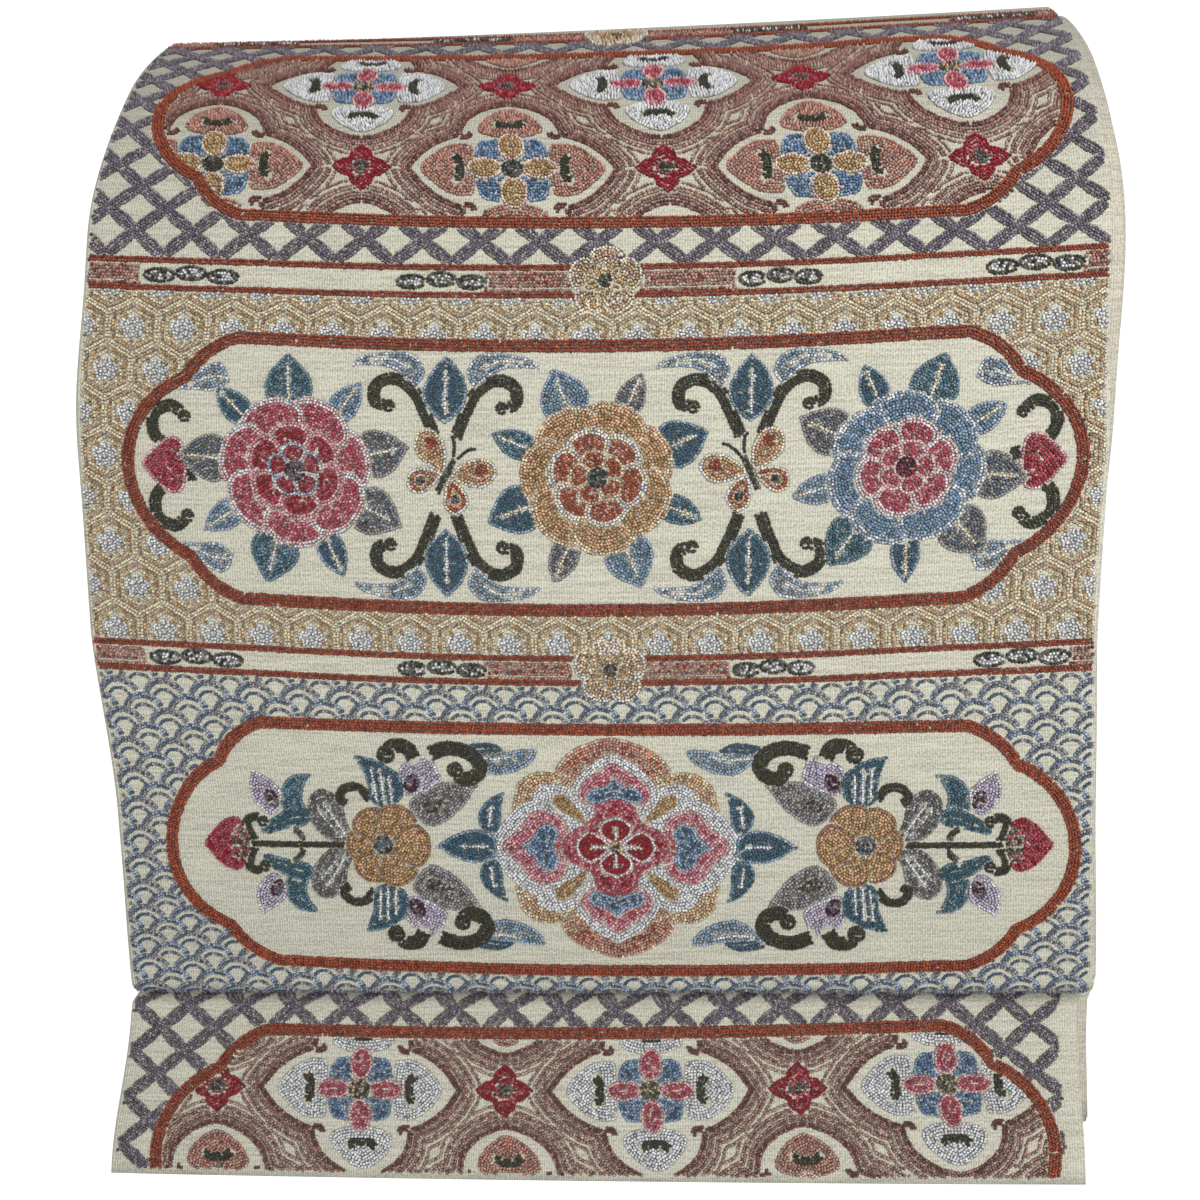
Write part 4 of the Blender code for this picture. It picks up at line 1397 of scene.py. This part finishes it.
def knot_tree():
    """Nodes that stand a small peaked knot on every point, along the cloth's normal."""
    tree = bpy.data.node_groups.new("Knots", "GeometryNodeTree")
    face = tree.interface
    face.new_socket("Geometry", in_out="INPUT", socket_type="NodeSocketGeometry")
    width = face.new_socket("Knot Width", in_out="INPUT", socket_type="NodeSocketFloat")
    width.default_value, width.min_value, width.subtype = 0.001, 0.0, "DISTANCE"
    sides = face.new_socket("Facets", in_out="INPUT", socket_type="NodeSocketInt")
    sides.default_value, sides.min_value = 5, 3
    face.new_socket("Thread", in_out="INPUT", socket_type="NodeSocketMaterial")
    face.new_socket("Geometry", in_out="OUTPUT", socket_type="NodeSocketGeometry")
    start = tree.nodes.new("NodeGroupInput").outputs

    def attribute(name, kind):
        named = {"Name": name}
        return put(tree, "GeometryNodeInputNamedAttribute", named, "Attribute", data_type=kind)

    half = put(tree, "ShaderNodeMath", {0: start["Knot Width"], 1: 0.5}, operation="MULTIPLY")
    cone = put(tree, "GeometryNodeMeshCone", {
        "Radius Top": 0.0, "Radius Bottom": half, "Depth": MM, "Vertices": start["Facets"],
    }, "Mesh", fill_type="NGON")
    up = {"Vector": attribute("up", "FLOAT_VECTOR")}
    upright = put(tree, "FunctionNodeAlignRotationToVector", up, axis="Z")
    spin = put(tree, "FunctionNodeAxisAngleToRotation", {
        "Axis": (0.0, 0.0, 1.0), "Angle": attribute("spin", "FLOAT"),
    })
    turned = put(tree, "FunctionNodeRotateRotation", {
        "Rotation": upright, "Rotate By": spin,
    }, rotation_space="LOCAL")
    girth = attribute("girth", "FLOAT")
    size = put(tree, "ShaderNodeCombineXYZ", {
        "X": girth, "Y": girth, "Z": attribute("height", "FLOAT"),
    })
    # Rise: each knot's height from foot to tip, which the thread material turns into painted shade at
    # the foot.
    position = put(tree, "GeometryNodeInputPosition")
    above = put(tree, "ShaderNodeSeparateXYZ", {"Vector": position}, "Z")
    rise = put(tree, "ShaderNodeMath", {0: above, 1: MM}, operation="DIVIDE")
    marked = put(tree, "GeometryNodeStoreNamedAttribute", {
        "Name": "rise", "Geometry": cone, "Value": rise,
    })
    stood = put(tree, "GeometryNodeInstanceOnPoints", {
        "Points": start["Geometry"], "Instance": marked, "Rotation": turned, "Scale": size,
    })
    rounded = put(tree, "GeometryNodeSetShadeSmooth", {"Geometry": stood})
    real = put(tree, "GeometryNodeRealizeInstances", {"Geometry": rounded})
    dressed = put(tree, "GeometryNodeSetMaterial", {"Geometry": real, "Material": start["Thread"]})
    feed(tree, tree.nodes.new("NodeGroupOutput"), {"Geometry": dressed})
    return tree


def set_input(modifier, name, value):
    """Sets a node tree's input by the name that its panel shows."""
    for socket in modifier.node_group.interface.items_tree:
        if socket.item_type == "SOCKET" and socket.in_out == "INPUT" and socket.name == name:
            modifier[socket.identifier] = value
            return
    raise KeyError(name)


def linked(name, mesh):
    obj = bpy.data.objects.new(name, mesh)
    bpy.context.collection.objects.link(obj)
    return obj


def plain(obj):
    """Works the object's modifiers into a plain mesh."""
    graph = bpy.context.evaluated_depsgraph_get()
    mesh = bpy.data.meshes.new_from_object(obj.evaluated_get(graph))
    obj.modifiers.clear()
    old, obj.data = obj.data, mesh
    bpy.data.meshes.remove(old)
    mesh.name = obj.name


def store(mesh, name, kind, field, values):
    attribute = mesh.attributes.new(name, kind, "POINT")
    attribute.data.foreach_set(field, np.ascontiguousarray(values, dtype=np.float32).ravel())


def knots(name, rows, run, settings, material):
    """One piece of embroidery stood on the cloth, a knot for each row of the work."""
    random = np.random.default_rng(SEED)
    across, height = rows[:, :2].T
    along = (along_drum if run is DRUM else along_tare)(across, height)
    places = on_run(run, across, along, FOOT_DEPTH)
    count = len(places)
    mesh = bpy.data.meshes.new(name)
    mesh.vertices.add(count)
    mesh.vertices.foreach_set("co", places.astype(np.float32).ravel())
    tilt = random.normal(0.0, TILT_SPREAD, (count, 3))
    store(mesh, "up", "FLOAT_VECTOR", "vector", normals(run, across, along) + tilt)
    store(mesh, "spin", "FLOAT", "value", random.uniform(0.0, 2 * math.pi, count))
    store(mesh, "girth", "FLOAT", "value", random.uniform(*GIRTH_RANGE, count))
    store(mesh, "height", "FLOAT", "value", PILE * rows[:, 5])
    opaque = np.hstack([rows[:, 2:5], np.ones((count, 1))])
    store(mesh, "thread", "FLOAT_COLOR", "color", opaque)
    obj = linked(name, mesh)
    modifier = obj.modifiers.new("Knots", "NODES")
    modifier.node_group = bpy.data.node_groups.get("Knots") or knot_tree()
    set_input(modifier, "Knot Width", settings.width)
    set_input(modifier, "Facets", settings.facets)
    set_input(modifier, "Thread", material)
    plain(obj)
    lay_out(obj.data, rows[:, :2], count)
    return obj


def map_corners(mesh, name, places_of):
    """A UV map of a mesh, its places worked out from the vertex at each corner."""
    corners = np.zeros(len(mesh.loops), dtype=np.int32)
    mesh.loops.foreach_get("vertex_index", corners)
    layer = mesh.uv_layers.new(name=name)
    layer.data.foreach_set("uv", places_of(corners).astype(np.float32).ravel())


def lay_out(mesh, places, count):
    """Gives every knot its own small cell of the image, where it lies on the cloth."""
    low, high = places.min(axis=0), places.max(axis=0)
    spot = (places - low) / (high - low)
    cell = 0.4 * PITCH / (high - low)
    ring = len(mesh.vertices) // count

    def spread(corners):
        angle = 2 * math.pi * (corners % ring) / ring
        reach = np.stack([np.cos(angle), np.sin(angle)], -1) * cell
        return np.clip(spot[corners // ring] * 0.996 + 0.002 + reach * 0.5, 0.0, 1.0)

    map_corners(mesh, "OFBake", spread)


# ---------------------------------------------------------------------------------------------
# Cloth


ROW_TURN = math.radians(9.0)  # the most that the cloth turns from row to row in a fold


def edge_round(half, top, wall, steps):
    """Outline of a cloth's cross-section: (across, depth), its two edges rounded."""
    radius = wall / 2
    flat = np.linspace(-half + radius, half - radius, steps + 1)
    right = [
        (half - radius + radius * math.cos(turn), top + radius + radius * math.sin(turn))
        for turn in map(math.radians, np.linspace(-90.0, 90.0, 6)[1:-1])
    ]
    face = [(x, top) for x in flat]
    back = [(x, top + wall) for x in reversed(flat)]
    left = [(-x, depth) for x, depth in reversed(right)]
    return np.array(face + right + back + left)


def skin(name, rings, material):
    """A closed body through rings of points, its two ends filled across."""
    rows, count, _ = rings.shape
    first = np.arange(rows - 1)[:, None] * count
    step = np.arange(count)[None, :]
    after = (step + 1) % count
    faces = np.stack(
        [first + step, first + after, first + count + after, first + count + step], -1
    ).reshape(-1, 4).tolist()
    for base, order in ((0, -1), ((rows - 1) * count, 1)):
        for i in range(count // 2 - 1):
            j = count - 1 - i
            faces.append([base + k for k in (i, i + 1, j - 1, j)][::order])
    mesh = bpy.data.meshes.new(name)
    mesh.from_pydata(rings.reshape(-1, 3).tolist(), [], faces)
    mesh.validate()
    mesh.update()
    mesh.shade_smooth()
    mesh.materials.append(material)
    return linked(name, mesh)


def cloth(name, run, top, wall, inset, spacing, columns, material):
    """A cloth wall along a run with soft hollows in it and a slightly uneven edge."""
    section = edge_round(CLOTH_WIDTH / 2 - inset, top, wall, columns)
    marks = set(run.stops.tolist())
    for low, high, bend in zip(run.stops[:-1], run.stops[1:], run.bends):
        gap = min(spacing, ROW_TURN / abs(bend)) if abs(bend) > 0.01 else spacing
        marks.update(np.linspace(low, high, max(2, math.ceil((high - low) / gap) + 1)).tolist())
    marks = np.array(sorted(marks))
    along = marks[:, None] * np.ones(len(section))
    across = section[:, 0] * np.ones((len(marks), 1))
    edge = (np.abs(across) / (CLOTH_WIDTH / 2)) ** 8
    side = np.sign(across)
    waver = 0.35 * np.sin(along / 23.0 + side) + 0.2 * np.sin(along / 9.7)  # of the cloth's edge
    across = across + edge * waver * side
    obj = skin(name, on_run(run, across, along, section[:, 1]), material)
    chart(obj.data, marks, section)
    return obj


def chart(mesh, marks, section):
    """Maps the weave onto the cloth in metres along and across it."""
    travel, count = travelled(section), len(section)
    map_corners(mesh, "Weave", lambda corners: (
        np.stack([travel[corners % count], marks[corners // count]], -1) * MM
    ))


def pack_path():
    """Y-Z points and inward ways of the folded layers' outer side, front foot to back foot."""
    points = [(PACK_FRONT, height) for height in np.linspace(PACK_FOOT, PACK_LEAN_FROM, 24)]
    meets_at = PACK_MEETS_AT + FOLD_BOTTOM
    y, z, out_y, out_z = (float(value) for value in DRUM.at(meets_at, PACK_GAP))
    start, end = np.array(points[-1]), np.array((y, z))
    reach = np.linalg.norm(end - start)
    leaving, arriving = np.array((0.0, reach)), np.array((out_z, -out_y)) * reach
    for t in np.linspace(0.0, 1.0, 14)[1:-1]:
        points.append(tuple(eased(start, end, leaving, arriving, t)))
    for along in np.arange(meets_at, DRUM.stops[6] - 1, 5.0):
        y, z, _, _ = DRUM.at(along, PACK_GAP)
        if along < DRUM.stops[4] or z > PACK_BACK_FOOT + 8:
            points.append((float(y), float(z)))
    points.append((points[-1][0], PACK_BACK_FOOT))
    points = np.array(points)
    ways = np.gradient(points, axis=0)
    ways /= np.linalg.norm(ways, axis=1, keepdims=True)
    return points, ways


def folded_layer(index, material):
    """One layer of the hidden length, with its own edges and feet, and how long it is."""
    left, right, longer = PACK_LAYERS[index]
    section = edge_round((right - left) / 2, index * LAYER + LAYER_INSET, LAYER_WALL, 30)
    section[:, 0] += (right + left) / 2
    points, ways = pack_path()
    inward = np.stack([ways[:, 1], -ways[:, 0]], -1)
    slide = np.zeros(len(points))
    slide[0], slide[-1] = -longer, longer
    points = points + ways * slide[:, None]
    along = np.arange(len(points))[:, None] * 4.0
    edge = (np.abs(section[:, 0]) / (CLOTH_WIDTH / 2)) ** 6
    across = section[:, 0] + 0.5 * np.sin(along / 31.0 + index) * edge
    places = points[:, None, :] + inward[:, None, :] * section[None, :, 1:2]
    rings = hung(across, places[..., 0], places[..., 1])
    obj = skin(f"folded_layer_{index + 1}", rings, material)
    travel = travelled(points)
    chart(obj.data, travel, section)
    return obj, travel[-1]


# ---------------------------------------------------------------------------------------------
# Settings, operators and the panel


def colour(name, description, rgb):
    return bpy.props.FloatVectorProperty(
        name=name, description=description, subtype="COLOR", default=linear(rgb).tolist(),
        min=0.0, max=1.0,
    )


def distance(name, description, default, low, high):
    return bpy.props.FloatProperty(
        name=name, description=description, default=default, min=low, max=high,
        subtype="DISTANCE", unit="LENGTH",
    )


class ObiClothSettings(bpy.types.PropertyGroup):
    spacing: distance(
        "Row Spacing", "Distance between rows of the face cloth's mesh", 0.0036, 0.001, 0.02
    )
    columns: bpy.props.IntProperty(
        name="Columns", description="Columns across the face cloth's mesh", default=64, min=8, max=200
    )
    face: colour("Face Silk", "Colour of the patterned side's cloth", (234, 232, 214))
    back: colour("Lining Silk", "Colour of the lining and the folded layers", (236, 230, 213))


class ObiKnotSettings(bpy.types.PropertyGroup):
    width: distance("Knot Width", "Width of one knot at its foot", 0.0015, 0.0005, 0.003)
    facets: bpy.props.IntProperty(
        name="Facets", description="Sides of each knot", default=5, min=3, max=8
    )


for thread, shade in THREADS.items():
    ObiKnotSettings.__annotations__[thread] = colour(
        thread.capitalize(), f"Colour of the {thread} thread", shade
    )


class ObiStageSettings(bpy.types.PropertyGroup):
    strength: bpy.props.FloatProperty(
        name="Light Power", description="Power of the main lamp", default=4.8, min=0.0,
        max=200.0, unit="POWER",
    )


def finished(operator, done):
    operator.report({"INFO"}, done)
    return {"FINISHED"}


class OBI_OT_cloth(bpy.types.Operator):
    """Builds the sash's face cloth, linings and folded layers"""

    bl_idname = "obi.cloth"
    bl_label = "Build Cloth"

    def execute(self, context):
        settings = context.scene.obi_cloth
        spacing, columns = settings.spacing / MM, settings.columns
        silk = cloth_material("ivory_silk", settings.face)
        lining = cloth_material("lining_silk", settings.back)
        for name, run in (("drum", DRUM), ("inner_pass", INNER), ("tare", TARE)):
            face = cloth(name + "_silk", run, 0.0, FACE_WALL, 0.0, spacing, columns, silk)
            back = cloth(
                name + "_lining_silk", run, FACE_WALL + SEAM_GAP, LINING_WALL, LINING_INSET,
                spacing * 1.6, columns // 2, lining,
            )
            for obj, node, cut, slot in (
                (face, name, CLOTH_WIDTH, "ivory_cloth"),
                (back, name + "_lining", CLOTH_WIDTH - 2 * LINING_INSET, "lining_cloth"),
            ):
                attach(obj, "root")
                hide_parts(node)
        for index, (left, right, _) in enumerate(PACK_LAYERS):
            obj, length = folded_layer(index, lining)
            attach(obj, "root")
            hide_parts("folded_layers")
        return finished(self, "Cloth built")


class OBI_OT_knots(bpy.types.Operator):
    """Works the knotted embroidery over the cloth"""

    bl_idname = "obi.knots"
    bl_label = "Work Embroidery"

    def execute(self, context):
        settings = context.scene.obi_knots
        PALETTE.update((name, np.array(getattr(settings, name))) for name in THREADS)
        lattice.cache_clear()
        material = thread_material()
        for name, run, build, solids in STITCHED:
            rows = build().rows
            if run is TARE:
                rows = rows[along_tare(*rows[:, :2].T) < TARE.stops[-1] - HEM_MARGIN]
            if not len(rows):
                raise RuntimeError(f"{name} has no knots")
            obj = knots(name, rows, run, settings, material)
            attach(obj, "root")
            for solid in solids:
                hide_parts(solid)
        return finished(self, "Embroidery worked")


class OBI_OT_stage(bpy.types.Operator):
    """Sets the backdrop, the lamps and the camera"""

    bl_idname = "obi.stage"
    bl_label = "Set Stage"

    def execute(self, context):
        build_stage(context, context.scene.obi_stage.strength)
        return finished(self, "Stage set")


class OBI_PT_panel(bpy.types.Panel):
    """The sash's builders, one button each"""

    bl_idname = "OBI_PT_panel"
    bl_label = "Obi Drum Bow"
    bl_space_type = "VIEW_3D"
    bl_region_type = "UI"
    bl_category = "Obi"

    def draw(self, context):
        layout = self.layout
        for settings, operator in (
            (context.scene.obi_cloth, OBI_OT_cloth),
            (context.scene.obi_knots, OBI_OT_knots),
            (context.scene.obi_stage, OBI_OT_stage),
        ):
            box = layout.box()
            for name in settings.__annotations__:
                box.prop(settings, name)
            box.operator(operator.bl_idname)


ROOM_HALF, ROOM_FLOOR, ROOM_TOP = 1.6, -1.2, 1.3  # metres
LAMPS = (
    # name, place and size in metres, share of the power, colour
    ("key", (0.24, -0.86, 0.14), (0.4, 0.3), 1.0, (1.0, 0.985, 0.95)),
    ("fill_left", (-1.0, -0.7, -0.4), (0.7, 0.9), 0.38, (0.98, 0.99, 1.0)),
    ("fill_right", (1.0, -0.7, -0.3), (0.7, 0.9), 0.40, (1.0, 1.0, 0.99)),
    ("back_left", (-0.8, 0.9, 0.3), (0.9, 0.9), 1.35, (1.0, 0.99, 0.97)),
    ("back_right", (0.8, 0.9, 0.2), (0.9, 0.9), 1.10, (1.0, 0.99, 0.97)),
)
LAMPS_AIM = Vector((0.0, 0.0, -0.22))
CAMERA_PLACE = (0.0382, -0.63985, -0.09876)
CAMERA_TURNS = ((3.86, "Z"), (90.0 - 7.85, "X"), (-0.92, "Z"))  # degrees and axis
WHITE = (1.0, 1.0, 1.0, 1.0)


def lamp(name, place, size, power, tint):
    data = bpy.data.lights.new(name, "AREA")
    data.shape = "RECTANGLE"
    data.size, data.size_y = size
    data.energy = power
    data.color = tint
    obj = linked(name, data)
    obj.location = place
    obj.rotation_euler = (LAMPS_AIM - Vector(place)).to_track_quat("-Z", "Y").to_euler()
    return obj


def build_stage(context, power):
    """A pale room with a floor, soft lamps round the sash, and the camera."""
    room = bpy.data.meshes.new("room")
    corners = [
        (ROOM_HALF * x, ROOM_HALF * y, z)
        for z in (ROOM_FLOOR, ROOM_TOP)
        for x, y in ((-1, -1), (1, -1), (1, 1), (-1, 1))
    ]
    sides = [(i, i + 4, (i + 1) % 4 + 4, (i + 1) % 4) for i in range(4)]
    room.from_pydata(corners, [], [(0, 1, 2, 3), (7, 6, 5, 4), *sides])
    paper, _, _ = shaded("pale_paper", {
        "Base Color": (0.9, 0.9, 0.9, 1.0), "Roughness": 0.9, "Emission Color": WHITE,
        "Emission Strength": 0.9,
    })
    room.materials.append(paper)
    walls = linked("room", room)
    walls.visible_diffuse = walls.visible_glossy = walls.visible_shadow = False
    lamps = [
        lamp(name, place, size, power * share, tint) for name, place, size, share, tint in LAMPS
    ]
    world = bpy.data.worlds.new("soft")
    world.use_nodes = True
    feed(world.node_tree, world.node_tree.nodes["Background"], {"Color": WHITE, "Strength": 0.22})
    context.scene.world = world
    context.scene.view_settings.view_transform = "Standard"
    camera = bpy.data.cameras.new("camera")
    camera.lens, camera.sensor_width = 52.5, 36.0
    view = linked("camera", camera)
    turned = Matrix.Translation(CAMERA_PLACE)
    for degrees, axis in CAMERA_TURNS:
        turned = turned @ Matrix.Rotation(math.radians(degrees), 4, axis)
    view.matrix_world = turned
    context.scene.camera = view


CLASSES = (
    ObiClothSettings, ObiKnotSettings, ObiStageSettings,
    OBI_OT_cloth, OBI_OT_knots, OBI_OT_stage, OBI_PT_panel,
)
SETTINGS = {
    "obi_cloth": ObiClothSettings,
    "obi_knots": ObiKnotSettings,
    "obi_stage": ObiStageSettings,
}


def register():
    for cls in CLASSES:
        bpy.utils.register_class(cls)
    for name, settings in SETTINGS.items():
        setattr(bpy.types.Scene, name, bpy.props.PointerProperty(type=settings))


def unregister():
    for name in SETTINGS:
        delattr(bpy.types.Scene, name)
    for cls in reversed(CLASSES):
        bpy.utils.unregister_class(cls)


def main():
    register()
    bpy.ops.obi.cloth()
    bpy.ops.obi.knots()
    bpy.ops.obi.stage()


if __name__ == "__main__":
    main()
